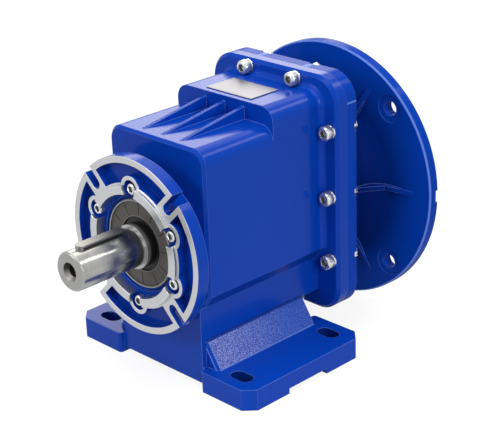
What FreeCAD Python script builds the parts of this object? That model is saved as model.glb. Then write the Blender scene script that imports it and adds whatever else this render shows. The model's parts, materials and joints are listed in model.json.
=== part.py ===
"""Foot-mounted in-line spur gearbox with a flanged motor input, built at real size in millimetres.

The output shaft points along -Y, the motor bolts on at +Y and +Z is up. The origin lies on the foot
plane, at the centre of the four foot slots. Stations along Y count from the output face.
"""
import FreeCAD, Part
import math
import os

import Sketcher
from FreeCAD import Placement, Rotation, Vector

SIZES = {
    # main layout
    "axis_height": 130.0, "foot_to_face": 93.0, "centre_distance": 56.0,
    # output face: slotted ring, spigot and neck
    "ring_diameter": 160.0, "ring_thickness": 12.0, "ring_rim": 6.0, "ring_pocket_depth": 8.0,
    "spigot_diameter": 110.0, "spigot_height": 3.0,
    "slot_circle": 130.0, "slot_width": 10.0, "slot_wall": 4.5, "slot_angle": 45.0,
    "neck_diameter": 114.0,
    # bearing cap with ears behind the ring, and its screws
    "cap_diameter": 93.0, "cap_front": 6.0, "cap_thickness": 8.0, "cap_clearance": 0.3, "cap_lip": 2.0,
    "cap_groove": 3.0, "cap_groove_depth": 2.5,
    "ear_circle": 104.0, "ear_radius": 8.0, "ear_wall": 4.0, "ear_angle": 25.0,
    "cap_screw_diameter": 6.0, "cap_screw_length": 18.0, "cap_screw_head": 10.0,
    "cap_screw_head_height": 6.0, "cap_screw_socket": 5.0, "cap_screw_socket_depth": 3.0,
    # gear case shell
    "body_setback": 30.0, "body_half_width": 60.0, "body_top": 90.5, "body_edge": 14.0, "front_edge": 2.5,
    "wall": 7.0, "front_wall": 10.0, "side_low": 42.0, "tuck_drop": 11.0, "tuck_in": 8.0, "case_low": 44.0,
    "step_start": 112.0, "step_top": 107.0, "case_length": 173.0,
    "rib_count": 3, "rib_spacing": 24.0, "rib_thickness": 3.5, "rib_start": 38.0, "rib_drop": 5.0,
    # split flange shared by the case and the motor flange
    "split_half_width": 78.5, "split_low": 25.0, "split_top": 121.0, "split_corner": 26.0,
    "split_edge": 3.0, "cover_edge": 1.5,
    "case_flange": 13.0, "cover_flange": 13.5, "flare": 6.0,
    "split_side_x": 70.0, "split_side_z": 10.5, "split_side_step": 62.0,
    "split_row_x": 29.5, "split_row_margin": 7.0,
    "dowel_diameter": 8.0, "dowel_length": 20.0, "dowel_inset": 18.0,
    # foot
    "foot_half_width": 114.0, "foot_inner": 54.0, "foot_length": 146.0, "foot_thickness": 20.0,
    "foot_chamfer": 10.0, "pad_corner": 3.0, "foot_relief": 5.0, "foot_relief_length": 48.0,
    "foot_hole_spacing_x": 175.0, "foot_hole_spacing_y": 110.0, "foot_slot_width": 14.0,
    "foot_slot_length": 23.0, "pedestal_front": 25.0, "pedestal_back": 152.0,
    "gusset_foot": 15.0, "gusset_height": 23.0, "gusset_inset": 5.0, "gusset_chamfer": 3.0,
    "groove_depth": 2.0, "groove_height": 3.0, "core_wall": 10.0, "core_floor": 7.0,
    # bearings: bore, outside diameter, width
    "front_bearing_bore": 40.0, "front_bearing_outside": 80.0, "front_bearing_width": 18.0,
    "mid_bearing_bore": 35.0, "mid_bearing_outside": 62.0, "mid_bearing_width": 14.0,
    "counter_bearing_bore": 20.0, "counter_bearing_outside": 42.0, "counter_bearing_width": 12.0,
    "input_bearing_bore": 45.0, "input_bearing_outside": 75.0, "input_bearing_width": 16.0,
    "race_share": 0.28, "shield_gap": 0.3, "shield_inset": 0.4, "shield_thickness": 1.0,
    "boss_wall": 7.5, "bearing_pitch": 12.0, "shoulder": 4.0,
    # output shaft, key and seal
    "output_diameter": 35.0, "output_length": 70.0, "shaft_chamfer": 1.5, "collar_diameter": 46.0,
    "end_thread": 10.2, "end_mouth": 17.0, "end_mouth_depth": 4.0, "end_thread_depth": 28.0,
    "journal_start": -2.0, "output_tail": 3.0,
    "key_width": 10.0, "key_height": 8.0, "key_length": 50.0, "key_depth": 5.0, "key_setback": 9.0,
    "seal_outside": 80.0, "seal_rim": 1.5, "seal_dish": 1.5, "seal_lip": 3.0, "seal_throat": 4.5,
    "seal_hub": 6.0, "seal_clearance": 0.05,
    # gear train
    "tooth_module": 2.0, "pressure_angle": 20.0, "addendum": 0.9, "dedendum": 1.25, "backlash": 0.16,
    "output_teeth": 42, "counter_pinion_teeth": 14, "counter_teeth": 41, "input_teeth": 15,
    "output_gear_width": 26.0, "counter_gear_width": 20.0, "pinion_overlap": 1.5, "gear_gap": 4.0,
    "rim_thickness": 6.0, "hub_wall": 8.0, "web_recess": 5.0, "counter_gear_start": 126.0,
    "gear_key_width": 10.0, "gear_key_height": 8.0, "gear_key_depth": 5.0, "gear_key_inset": 2.0,
    "clip_thickness": 1.75, "clip_depth": 1.5, "clip_rise": 3.5, "clip_gap": 7.0,
    # countershaft
    "counter_core": 22.0, "counter_seat": 25.0, "counter_collar": 32.0, "counter_collar_length": 5.0,
    "counter_key_width": 8.0, "counter_key_height": 7.0, "counter_key_depth": 4.0,
    "counter_shaft_gap": 2.0,
    # hollow input shaft
    "input_bore": 28.0, "input_bore_length": 58.0, "input_neck": 24.0, "input_collar": 53.0,
    "input_collar_length": 9.0, "input_tail": 14.0, "input_key_width": 8.0, "input_key_rise": 3.3,
    "input_wall_gap": 1.5, "input_spacer": 12.0, "input_spacer_wall": 3.5, "input_seal_width": 8.0,
    "input_seal_gap": 2.0, "input_shoulder": 8.0,
    # motor flange
    "flange_diameter": 250.0, "flange_thickness": 12.0, "flange_front": 246.0, "flange_chamfer": 1.5,
    "flange_circle": 215.0, "flange_hole": 14.5, "flange_spotface": 26.0, "spotface_depth": 1.0,
    "flange_angle": 45.0, "pilot_diameter": 180.0, "pilot_depth": 5.5,
    "bell_diameter": 116.0, "bell_fillet": 22.0, "bell_rib_count": 6, "bell_rib_thickness": 4.5,
    "bell_rib_reach": 106.0, "bell_rib_start": 12.0, "bell_rib_rise": 3.5, "bell_rib_knee": 75.0,
    "pry_notch_width": 12.0, "pry_notch_depth": 4.0,
    # split flange screws, lock washers and nuts
    "screw_diameter": 8.0, "screw_hole": 9.0, "screw_head": 13.0, "screw_head_height": 8.0,
    "head_clearance": 0.4, "screw_socket": 6.0, "screw_socket_depth": 4.0, "screw_end": 1.5,
    "washer_bore": 8.3, "washer_outside": 12.8, "washer_thickness": 2.0, "washer_split": 1.2,
    "nut_flats": 13.0, "nut_height": 6.5, "nut_seat": 4.0, "nut_seat_diameter": 18.0,
    # blank nameplate on the step
    "plate_length": 56.0, "plate_depth": 34.0, "plate_thickness": 0.8, "plate_setback": 6.0,
    "fit_clearance": 0.05,
}


class Size:
    """A number together with the expression that ties it to the sheet."""

    def __init__(self, value, text):
        self.value = float(value)
        self.text = text

    def __add__(self, other):
        other = as_size(other)
        return Size(self.value + other.value, f"({self.text} + {other.text})")

    def __sub__(self, other):
        other = as_size(other)
        return Size(self.value - other.value, f"({self.text} - {other.text})")

    def __mul__(self, other):
        other = as_size(other)
        return Size(self.value * other.value, f"({self.text} * {other.text})")

    def __truediv__(self, other):
        other = as_size(other)
        return Size(self.value / other.value, f"({self.text} / {other.text})")

    def __rsub__(self, other):
        return as_size(other) - self

    def __neg__(self):
        return Size(-self.value, f"(0 - {self.text})")

    __radd__ = __add__
    __rmul__ = __mul__


def as_size(number):
    return number if isinstance(number, Size) else Size(number, repr(number))


def cosine(angle):
    return Size(math.cos(math.radians(angle.value)), f"cos({angle.text})")


def sine(angle):
    return Size(math.sin(math.radians(angle.value)), f"sin({angle.text})")


def make_sheet(doc):
    """The spreadsheet of driving dimensions, one named cell each."""
    sheet = doc.addObject("Spreadsheet::Sheet", "Sizes")
    for row, (name, value) in enumerate(SIZES.items(), start=1):
        sheet.set(f"A{row}", name)
        sheet.set(f"B{row}", str(value))
        sheet.setAlias(f"B{row}", name)
    doc.recompute()
    return sheet


class Values:
    """Named access to the sheet's cells as sizes."""

    def __init__(self, sheet):
        self.sheet = sheet

    def __getattr__(self, name):
        return Size(self.sheet.get(name), f"Sizes.{name}")


doc = FreeCAD.newDocument("Gearbox")
S = Values(make_sheet(doc))
PARTS = []


def bind(item, path, size):
    """Tie a property to the sheet."""
    if "Sizes." in size.text:
        item.setExpression(path, size.text)


def place(item, x=0, y=0, z=0):
    """Put a sub-part at its place in the assembly."""
    spot = [as_size(part) for part in (x, y, z)]
    item.Placement = Placement(Vector(*[part.value for part in spot]), Rotation())
    for letter, part in zip("xyz", spot):
        bind(item, f"Placement.Base.{letter}", part)


class Sketch:
    """A sketch on one of a body's own planes, drawn with sizes tied to the sheet.

    On XZ the sketch reads (x, z), on XY (x, y) and on YZ (y, z).
    """

    def __init__(self, body, plane, station=0, height=0):
        self.item = body.newObject("Sketcher::SketchObject", f"{body.Name}_sketch")
        base = next(part for part in body.Origin.OriginFeatures if part.Role == f"{plane}_Plane")
        self.item.AttachmentSupport = [(base, "")]
        self.item.MapMode = "FlatFace"
        offset = -as_size(station) if plane == "XZ" else as_size(station)
        height = as_size(height)
        self.item.AttachmentOffset = Placement(Vector(0, height.value, offset.value), Rotation())
        bind(self.item, "AttachmentOffset.Base.y", height)
        bind(self.item, "AttachmentOffset.Base.z", offset)

    def constrain(self, kind, *terms, size=None):
        if size is None:
            return self.item.addConstraint(Sketcher.Constraint(kind, *terms))
        index = self.item.addConstraint(Sketcher.Constraint(kind, *terms, size.value))
        bind(self.item, f"Constraints[{index}]", size)
        return index

    def fix(self, shape, end, point):
        """Hold one end of a shape at a point."""
        for kind, axis, part in (("DistanceX", -2, point[0]), ("DistanceY", -1, point[1])):
            part = as_size(part)
            if part.text == "0":
                self.constrain("PointOnObject", shape, end, axis)
            else:
                self.constrain(kind, shape, end, size=part)

    def polygon(self, points):
        spots = [Vector(as_size(across).value, as_size(up).value, 0) for across, up in points]
        lines = [self.item.addGeometry(Part.LineSegment(start, end), False)
                 for start, end in zip(spots, spots[1:] + spots[:1])]
        for line, following in zip(lines, lines[1:] + lines[:1]):
            self.constrain("Coincident", line, 2, following, 1)
        for line, point in zip(lines, points):
            self.fix(line, 1, point)
        return self

    def circle(self, centre, radius):
        spot = Vector(as_size(centre[0]).value, as_size(centre[1]).value, 0)
        shape = self.item.addGeometry(Part.Circle(spot, Vector(0, 0, 1), radius.value), False)
        self.fix(shape, 3, centre)
        self.constrain("Radius", shape, size=radius)
        return self

    def rectangle(self, low, high):
        return self.polygon([low, (high[0], low[1]), high, (low[0], high[1])])

    def slot(self, start, end, radius):
        """A slot with round ends whose centres lie at start and end."""
        first, last = (Vector(as_size(p[0]).value, as_size(p[1]).value, 0) for p in (start, end))
        along = (last - first).normalize()
        side = Vector(-along.y, along.x, 0) * radius.value
        lead = along * radius.value
        head = self.item.addGeometry(Part.Arc(last - side, last + lead, last + side), False)
        tail = self.item.addGeometry(Part.Arc(first + side, first - lead, first - side), False)
        upper = self.item.addGeometry(Part.LineSegment(last + side, first + side), False)
        lower = self.item.addGeometry(Part.LineSegment(first - side, last - side), False)
        for arc, arc_end, line, line_end in ((head, 2, upper, 1), (tail, 1, upper, 2),
                                             (tail, 2, lower, 1), (head, 1, lower, 2)):
            self.constrain("Tangent", arc, arc_end, line, line_end)
        self.fix(head, 3, end)
        self.fix(tail, 3, start)
        self.constrain("Radius", head, size=radius)
        return self

    def curves(self, shapes):
        """Ready-made curves that already join end to end."""
        self.item.addGeometry(shapes, False)
        return self


def new_body(label):
    body = doc.addObject("PartDesign::Body", label)
    body.Label = label
    return body


def new_part(label):
    """A body that is one of the gearbox's sub-parts."""
    body = new_body(label)
    PARTS.append(body)
    return body


def finish(body, feature):
    """Work the feature out and make it the body's newest one."""
    doc.recompute()
    if "Invalid" in feature.State or feature.Shape.isNull():
        raise ValueError(f"{feature.Label} failed: {feature.getStatusString()}")
    body.Tip = feature
    return feature


def extrude(body, sketch, kind, length, backwards):
    feature = body.newObject(f"PartDesign::{kind}", f"{body.Name}_{kind.lower()}")
    feature.Profile = sketch.item
    feature.Type = 0
    feature.Length = length.value
    bind(feature, "Length", length)
    feature.Reversed = backwards
    return finish(body, feature)


def pad(body, sketch, length, backwards=False):
    """Add material from the sketch's plane: towards -Y on XZ, up on XY, towards +X on YZ."""
    return extrude(body, sketch, "Pad", as_size(length), backwards)


def pocket(body, sketch, length, backwards=False):
    """Take material away from the sketch's plane: towards +Y on XZ, down on XY."""
    before = body.Shape.Volume
    feature = extrude(body, sketch, "Pocket", as_size(length), backwards)
    if body.Shape.Volume >= before:
        raise ValueError(f"a pocket of {body.Label} cuts nothing")
    return feature


def revolve(body, outline):
    """Turn an outline of (station, radius) points about the body's own Y axis."""
    sketch = Sketch(body, "YZ").polygon(outline)
    feature = body.newObject("PartDesign::Revolution", f"{body.Name}_turned")
    feature.Profile = sketch.item
    feature.ReferenceAxis = (sketch.item, ["H_Axis"])
    feature.Angle = 360
    return finish(body, feature)


def edges_where(shape, test):
    return [f"Edge{n}" for n, edge in enumerate(shape.Edges, start=1) if test(edge)]


def dress(body, kind, size, test):
    """Fillet or chamfer the edges of the body that pass a test."""
    base = body.Tip
    feature = body.newObject(f"PartDesign::{kind}", f"{body.Name}_{kind.lower()}")
    feature.Base = (base, edges_where(base.Shape, test))
    name = "Radius" if kind == "Fillet" else "Size"
    setattr(feature, name, size.value)
    bind(feature, name, size)
    return finish(body, feature)


def group(label, master, spots):
    """Copies of one piece at several places, kept as separate solids of one sub-part."""
    item = doc.addObject("Part::Feature", label)
    item.Label = label
    shapes = []
    for spot in spots:
        copy = master.Shape.copy()
        copy.Placement = Placement(Vector(*[as_size(part).value for part in spot]), Rotation())
        shapes.append(copy)
    item.Shape = Part.makeCompound(shapes)
    PARTS.append(item)
    return item


def near(value, size):
    tolerance = 0.01
    return abs(value - size.value) < tolerance


def runs_along_y(edge):
    box = edge.BoundBox
    return box.YLength > max(box.XLength, box.ZLength) and isinstance(edge.Curve, Part.Line)


# Stations shared by several pieces, from the output face along Y.
FACE = -S.foot_to_face
AXIS = S.axis_height
COUNTER = S.axis_height + S.centre_distance
SPLIT = S.case_length + S.case_flange
COVER_BACK = SPLIT + S.cover_flange
CAP_BACK = S.cap_front + S.cap_thickness
MID_BEARING = CAP_BACK + S.front_bearing_width + S.bearing_pitch
BOSS_END = MID_BEARING + S.mid_bearing_width
OUTPUT_GEAR = BOSS_END + S.gear_gap
OUTPUT_GEAR_END = OUTPUT_GEAR + S.output_gear_width
COUNTER_FRONT = BOSS_END - S.counter_bearing_width - S.counter_shaft_gap
COUNTER_REAR = SPLIT - S.counter_bearing_width - S.counter_shaft_gap
COUNTER_GEAR_END = S.counter_gear_start + S.counter_gear_width
INPUT_BEARING = SPLIT + S.input_shoulder
INPUT_SECOND = INPUT_BEARING + S.input_bearing_width + S.input_spacer
INPUT_CLIP = INPUT_SECOND + S.input_bearing_width
FLANGE_BACK = S.flange_front + S.flange_thickness
SPLIT_MIDDLE = AXIS + S.split_side_z


def ear_spots():
    """Centres of the six cap screws: top, bottom and four near the horizontal."""
    reach = S.ear_circle / 2
    across = reach * cosine(S.ear_angle)
    up = reach * sine(S.ear_angle)
    return [(0, reach), (across, up), (across, -up), (0, -reach), (-across, -up), (-across, up)]


def split_spots():
    """Centres of the ten screws round the split flange, three a side and two in each row."""
    side = [(x, SPLIT_MIDDLE + S.split_side_step * n) for x in (S.split_side_x, -S.split_side_x)
            for n in (-1, 0, 1)]
    low = S.split_low + S.split_row_margin
    high = AXIS + S.split_top - S.split_row_margin
    return side + [(x, z) for x in (S.split_row_x, -S.split_row_x) for z in (low, high)]


def dowel_spots():
    """Two dowels on a diagonal of the split flange."""
    across = S.split_half_width - S.dowel_inset
    low = S.split_low + S.dowel_inset
    high = AXIS + S.split_top - S.dowel_inset
    return [(across, low), (-across, high)]


def both_sides(points):
    """An outline given for +X, and its mirror image."""
    return points, [(-across, up) for across, up in reversed(points)]


def ring_box(angle, inner, outer, half_width):
    """A box along a radius of the output ring, as a sketch outline."""
    corners = [(inner, -half_width), (outer, -half_width), (outer, half_width), (inner, half_width)]
    return [(along * cosine(angle) - aside * sine(angle), AXIS + along * sine(angle) + aside * cosine(angle))
            for along, aside in corners]


def split_plate(body, station, thickness):
    """The rounded plate on one side of the split."""
    sketch = Sketch(body, "XZ", station)
    sketch.rectangle((-S.split_half_width, S.split_low), (S.split_half_width, AXIS + S.split_top))
    return pad(body, sketch, thickness, backwards=True)


def drill(body, station, spots, radius, depth):
    """Round holes along +Y from one plane."""
    sketch = Sketch(body, "XZ", station)
    for spot in spots:
        sketch.circle(spot, radius)
    return pocket(body, sketch, depth)


def round_split_corners(body, low, high):
    """Round the four upright corners of a split plate between two stations."""
    def corner(edge):
        box = edge.BoundBox
        return (runs_along_y(edge) and near(abs(box.XMin), S.split_half_width)
                and near(box.YMin, low) and near(box.YMax, high))
    return dress(body, "Fillet", S.split_corner, corner)


def in_plane(station, keep=None):
    """A test for the edges that lie in one upright plane, all of them or those to keep."""
    def wanted(edge):
        box = edge.BoundBox
        flat = near(box.YMin, station) and near(box.YMax, station)
        return flat and (keep is None or keep(box))
    return wanted


def beside_body(box):
    """Edges where the body runs into the split flange, above its tuck."""
    slack = S.fit_clearance.value
    inside = max(abs(box.XMin), abs(box.XMax)) < S.body_half_width.value + slack
    lowest = AXIS.value - S.side_low.value + slack
    return inside and lowest < box.ZMax < AXIS.value + S.step_top.value + slack


def on_rim(box):
    """Edges of the split flange's own outline."""
    beside = max(abs(box.XMin), abs(box.XMax)) > S.split_half_width.value - S.split_corner.value / 2
    return beside or near(box.ZMin, AXIS + S.split_top) or near(box.ZMax, S.split_low)


def case_shell(body):
    """Outside of the gear case: body, raised step, split flange, pedestal and foot."""
    front = FACE + S.body_setback
    side_low = AXIS - S.side_low
    hip = S.body_half_width - S.tuck_in
    half, _ = both_sides([(hip, S.case_low), (hip, side_low - S.tuck_drop), (S.body_half_width, side_low),
                          (S.body_half_width, AXIS + S.body_top)])
    outline = half + [(-across, up) for across, up in reversed(half)]
    pad(body, Sketch(body, "XZ", front).polygon(outline), S.case_length - S.body_setback, backwards=True)
    dress(body, "Fillet", S.body_edge,
          lambda edge: runs_along_y(edge) and near(edge.BoundBox.ZMin, AXIS + S.body_top))
    dress(body, "Chamfer", S.front_edge, in_plane(front))
    step = Sketch(body, "XZ", FACE + S.step_start)
    step.rectangle((-S.body_half_width, AXIS), (S.body_half_width, AXIS + S.step_top))
    pad(body, step, S.case_length - S.step_start, backwards=True)
    dress(body, "Fillet", S.body_edge,
          lambda edge: runs_along_y(edge) and near(edge.BoundBox.ZMin, AXIS + S.step_top))
    split_plate(body, FACE + S.case_length, S.case_flange)
    round_split_corners(body, FACE + S.case_length, FACE + SPLIT)
    dress(body, "Fillet", S.flare, in_plane(FACE + S.case_length, beside_body))
    dress(body, "Chamfer", S.split_edge, in_plane(FACE + S.case_length, on_rim))


def inner_pad_corner(edge):
    """The upright edges at the ends of the pads that face the pedestal."""
    box = edge.BoundBox
    upright = box.ZLength > max(box.XLength, box.YLength)
    return upright and near(abs(box.XMin), S.foot_inner) and near(abs(box.YMin), S.foot_length / 2)


def case_foot(body):
    """Pedestal, bridge, gussets and the two slotted pads."""
    hip = S.body_half_width - S.tuck_in
    front = FACE + S.pedestal_front
    length = S.pedestal_back - S.pedestal_front
    pedestal = Sketch(body, "XZ", front)
    pedestal.rectangle((-hip, S.foot_relief), (hip, AXIS - S.side_low - S.tuck_drop))
    pad(body, pedestal, length, backwards=True)
    bridge = Sketch(body, "XZ", front)
    reach = S.foot_inner + S.foot_relief
    bridge.rectangle((-reach, S.foot_relief), (reach, S.foot_thickness))
    pad(body, bridge, length, backwards=True)
    near_y = -S.foot_length / 2
    far_y = S.foot_length / 2
    trim = S.foot_half_width - S.foot_chamfer
    pads = Sketch(body, "XY")
    for outline in both_sides([(S.foot_inner, near_y), (trim, near_y),
                               (S.foot_half_width, near_y + S.foot_chamfer),
                               (S.foot_half_width, far_y - S.foot_chamfer), (trim, far_y),
                               (S.foot_inner, far_y)]):
        pads.polygon(outline)
    pad(body, pads, S.foot_thickness)
    dress(body, "Fillet", S.pad_corner, inner_pad_corner)
    gussets = Sketch(body, "XZ", front + S.gusset_inset)
    top = S.foot_thickness + S.gusset_height
    for outline in both_sides([(hip - S.wall, S.foot_thickness - S.foot_relief),
                               (hip + S.gusset_foot, S.foot_thickness - S.foot_relief),
                               (hip + S.gusset_foot, S.foot_thickness), (hip, top), (hip - S.wall, top)]):
        gussets.polygon(outline)
    pad(body, gussets, length - S.gusset_inset, backwards=True)
    slope = front + S.gusset_inset
    dress(body, "Chamfer", S.gusset_chamfer,
          lambda edge: near(edge.BoundBox.YMin, slope) and near(edge.BoundBox.YMax, slope)
          and near(edge.BoundBox.ZLength, S.gusset_height) and near(edge.BoundBox.XLength, S.gusset_foot))
    groove = Sketch(body, "XZ", slope)
    for outline in both_sides([(hip - S.groove_depth, top), (hip + S.groove_depth, top),
                               (hip + S.groove_depth, top + S.groove_height * 2)]):
        groove.polygon(outline)
    pocket(body, groove, length - S.gusset_inset)
    relief = Sketch(body, "XY")
    clear = S.foot_half_width + S.foot_relief
    relief.rectangle((-clear, -S.foot_relief_length / 2), (clear, S.foot_relief_length / 2))
    pocket(body, relief, S.foot_relief, backwards=True)
    slots = Sketch(body, "XY", S.foot_thickness)
    travel = (S.foot_slot_length - S.foot_slot_width) / 2
    for side in (-1, 1):
        for end in (-1, 1):
            across = S.foot_hole_spacing_x / 2 * side
            along = S.foot_hole_spacing_y / 2 * end
            slots.slot((across - travel, along), (across + travel, along), S.foot_slot_width / 2)
    pocket(body, slots, S.foot_thickness)


def case_ribs(body):
    """Three thin ribs that climb from the body's top to the step."""
    for n in range(int(S.rib_count.value)):
        middle = S.rib_spacing * (n - (S.rib_count - 1) / 2)
        sketch = Sketch(body, "YZ", middle - S.rib_thickness / 2)
        top = AXIS + S.body_top
        sunk = top - S.wall / 2
        back = FACE + S.step_start + S.wall / 2
        sketch.polygon([(FACE + S.rib_start, sunk), (back, sunk), (back, AXIS + S.step_top - S.rib_drop),
                        (FACE + S.step_start, AXIS + S.step_top - S.rib_drop), (FACE + S.rib_start, top)])
        pad(body, sketch, S.rib_thickness)


def case_face(body):
    """Neck, slotted ring and spigot of the output face."""
    centre = (0, AXIS)
    neck = Sketch(body, "XZ", FACE + S.ring_pocket_depth).circle(centre, S.neck_diameter / 2)
    pad(body, neck, S.body_setback - S.ring_pocket_depth + S.wall, backwards=True)
    pad(body, Sketch(body, "XZ", FACE).circle(centre, S.ring_diameter / 2), S.ring_thickness, backwards=True)
    pad(body, Sketch(body, "XZ", FACE).circle(centre, S.spigot_diameter / 2), S.spigot_height)
    trench = Sketch(body, "XZ", FACE)
    trench.circle(centre, S.ring_diameter / 2 - S.ring_rim)
    trench.circle(centre, S.spigot_diameter / 2 + S.spigot_height / 2)
    pocket(body, trench, S.ring_pocket_depth)
    lobes = Sketch(body, "XZ", FACE)
    for across, up in ear_spots():
        lobes.circle((across, AXIS + up), S.ear_radius + S.ear_wall)
    pad(body, lobes, S.ring_thickness, backwards=True)
    quarter = Size(90, "90")
    angles = [S.slot_angle + quarter * n for n in range(4)]
    walls = Sketch(body, "XZ", FACE)
    cuts = Sketch(body, "XZ", FACE - S.spigot_height)
    reach = S.slot_circle / 2
    half = S.slot_width / 2
    inner = reach - half
    for angle in angles:
        walls.polygon(ring_box(angle, inner - S.slot_wall, S.ring_diameter / 2 - S.ring_rim / 2,
                               half + S.slot_wall))
        outer = S.ring_diameter / 2 + half
        cuts.slot((reach * cosine(angle), AXIS + reach * sine(angle)),
                  (outer * cosine(angle), AXIS + outer * sine(angle)), half)
    pad(body, walls, S.ring_thickness, backwards=True)
    pocket(body, cuts, S.spigot_height + S.ring_thickness)


def case_inside(body):
    """Gear chamber, bearing seats, cap recess and holes."""
    centre = (0, AXIS)
    inner = S.body_half_width - S.wall
    hip = inner - S.tuck_in
    side_low = AXIS - S.side_low
    floor = S.case_low + S.wall
    roof = AXIS + S.body_top - S.wall
    half = [(hip, floor), (hip, side_low - S.tuck_drop), (inner, side_low), (inner, roof)]
    chamber = Sketch(body, "XZ", FACE + S.body_setback + S.front_wall)
    chamber.polygon(half + [(-across, up) for across, up in reversed(half)])
    pocket(body, chamber, SPLIT - S.body_setback - S.front_wall)
    loft = Sketch(body, "XZ", FACE + S.step_start + S.wall)
    loft.rectangle((-inner, AXIS), (inner, AXIS + S.step_top - S.wall))
    pocket(body, loft, SPLIT - S.step_start - S.wall)
    boss_length = BOSS_END - S.body_setback - S.wall
    for height, outside in ((AXIS, S.mid_bearing_outside), (COUNTER, S.counter_bearing_outside)):
        boss = Sketch(body, "XZ", FACE + S.body_setback + S.wall)
        boss.circle((0, height), outside / 2 + S.boss_wall)
        pad(body, boss, boss_length, backwards=True)
    recess = FACE - S.spigot_height
    ears = [(across, AXIS + up) for across, up in ear_spots()]
    drill(body, recess, [centre], S.cap_diameter / 2 + S.cap_clearance, S.spigot_height + CAP_BACK)
    drill(body, recess, ears, S.ear_radius + S.cap_clearance, S.spigot_height + CAP_BACK)
    drill(body, FACE + CAP_BACK, ears, S.cap_screw_diameter / 2 + S.fit_clearance,
          S.cap_screw_length - S.cap_thickness)
    drill(body, FACE + CAP_BACK, [centre], S.front_bearing_outside / 2, S.front_bearing_width)
    drill(body, FACE + CAP_BACK, [centre], S.mid_bearing_outside / 2 - S.shoulder, BOSS_END - CAP_BACK)
    drill(body, FACE + MID_BEARING, [centre], S.mid_bearing_outside / 2, S.mid_bearing_width)
    drill(body, FACE + COUNTER_FRONT, [(0, COUNTER)], S.counter_bearing_outside / 2, BOSS_END - COUNTER_FRONT)
    drill(body, FACE + S.case_length - S.flare, split_spots(), S.screw_head / 2 + S.head_clearance, S.flare)
    drill(body, FACE + S.case_length, split_spots(), S.screw_hole / 2, S.case_flange)
    drill(body, FACE + SPLIT - S.dowel_length / 2, dowel_spots(), S.dowel_diameter / 2, S.dowel_length / 2)
    core = Sketch(body, "XY", S.foot_relief)
    across = S.body_half_width - S.tuck_in - S.core_wall
    core.rectangle((-across, FACE + S.pedestal_front + S.core_wall),
                   (across, FACE + S.pedestal_back - S.core_wall))
    pocket(body, core, S.case_low - S.foot_relief - S.core_floor + S.wall, backwards=True)


def gear_case():
    body = new_part("gear_case")
    case_shell(body)
    case_foot(body)
    case_ribs(body)
    case_face(body)
    case_inside(body)


def motor_flange():
    """Cover plate, bell and round flange that takes the motor, in one casting."""
    body = new_part("motor_flange")
    centre = (0, AXIS)
    split_plate(body, FACE + SPLIT, S.cover_flange)
    round_split_corners(body, FACE + SPLIT, FACE + COVER_BACK)
    dress(body, "Chamfer", S.cover_edge, in_plane(FACE + COVER_BACK, on_rim))
    bell = Sketch(body, "XZ", FACE + SPLIT).circle(centre, S.bell_diameter / 2)
    pad(body, bell, S.flange_front - SPLIT, backwards=True)
    disc = Sketch(body, "XZ", FACE + S.flange_front).circle(centre, S.flange_diameter / 2)
    pad(body, disc, S.flange_thickness, backwards=True)
    root = FACE + S.flange_front
    dress(body, "Fillet", S.bell_fillet,
          lambda edge: near(edge.BoundBox.YMin, root) and near(edge.BoundBox.YLength, Size(0, "0"))
          and near(edge.BoundBox.XLength, S.bell_diameter))
    dress(body, "Chamfer", S.flange_chamfer, lambda edge: near(edge.BoundBox.XLength, S.flange_diameter)
          and near(edge.BoundBox.YLength, Size(0, "0")))
    bell_ribs(body)
    boss = Sketch(body, "XZ", FACE + SPLIT).circle((0, COUNTER), S.counter_bearing_outside / 2 + S.boss_wall)
    pad(body, boss, SPLIT - COUNTER_REAR)
    drill(body, FACE + COUNTER_REAR, [(0, COUNTER)], S.counter_bearing_outside / 2, SPLIT - COUNTER_REAR)
    drill(body, FACE + SPLIT, [centre], S.input_collar / 2 + S.input_wall_gap, S.input_shoulder)
    drill(body, FACE + INPUT_BEARING, [centre], S.input_bearing_outside / 2, FLANGE_BACK - INPUT_BEARING)
    groove = Sketch(body, "XZ", FACE + INPUT_CLIP)
    groove.circle(centre, S.input_bearing_outside / 2 - S.clip_depth)
    groove.circle(centre, S.input_bearing_outside / 2 + S.clip_depth)
    pocket(body, groove, S.clip_thickness)
    drill(body, FACE + FLANGE_BACK - S.pilot_depth, [centre], S.pilot_diameter / 2, S.pilot_depth)
    reach = S.flange_circle / 2
    quarter = Size(90, "90")
    holes = [(reach * cosine(S.flange_angle + quarter * n), AXIS + reach * sine(S.flange_angle + quarter * n))
             for n in range(4)]
    drill(body, FACE + S.flange_front, holes, S.flange_hole / 2, S.flange_thickness)
    drill(body, FACE + S.flange_front, holes, S.flange_spotface / 2, S.spotface_depth)
    notch = Sketch(body, "XZ", FACE + FLANGE_BACK - S.pry_notch_depth)
    rim = S.flange_diameter / 2
    for outline in both_sides([(rim - S.pry_notch_depth, AXIS - S.pry_notch_width / 2),
                               (rim + S.pry_notch_depth, AXIS - S.pry_notch_width / 2),
                               (rim + S.pry_notch_depth, AXIS + S.pry_notch_width / 2),
                               (rim - S.pry_notch_depth, AXIS + S.pry_notch_width / 2)]):
        notch.polygon(outline)
    pocket(body, notch, S.pry_notch_depth)
    drill(body, FACE + SPLIT, split_spots(), S.screw_hole / 2, S.cover_flange)
    drill(body, FACE + COVER_BACK - S.nut_seat, split_spots(), S.nut_seat_diameter / 2, S.nut_seat)
    drill(body, FACE + SPLIT, dowel_spots(), S.dowel_diameter / 2, S.dowel_length / 2)


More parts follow.
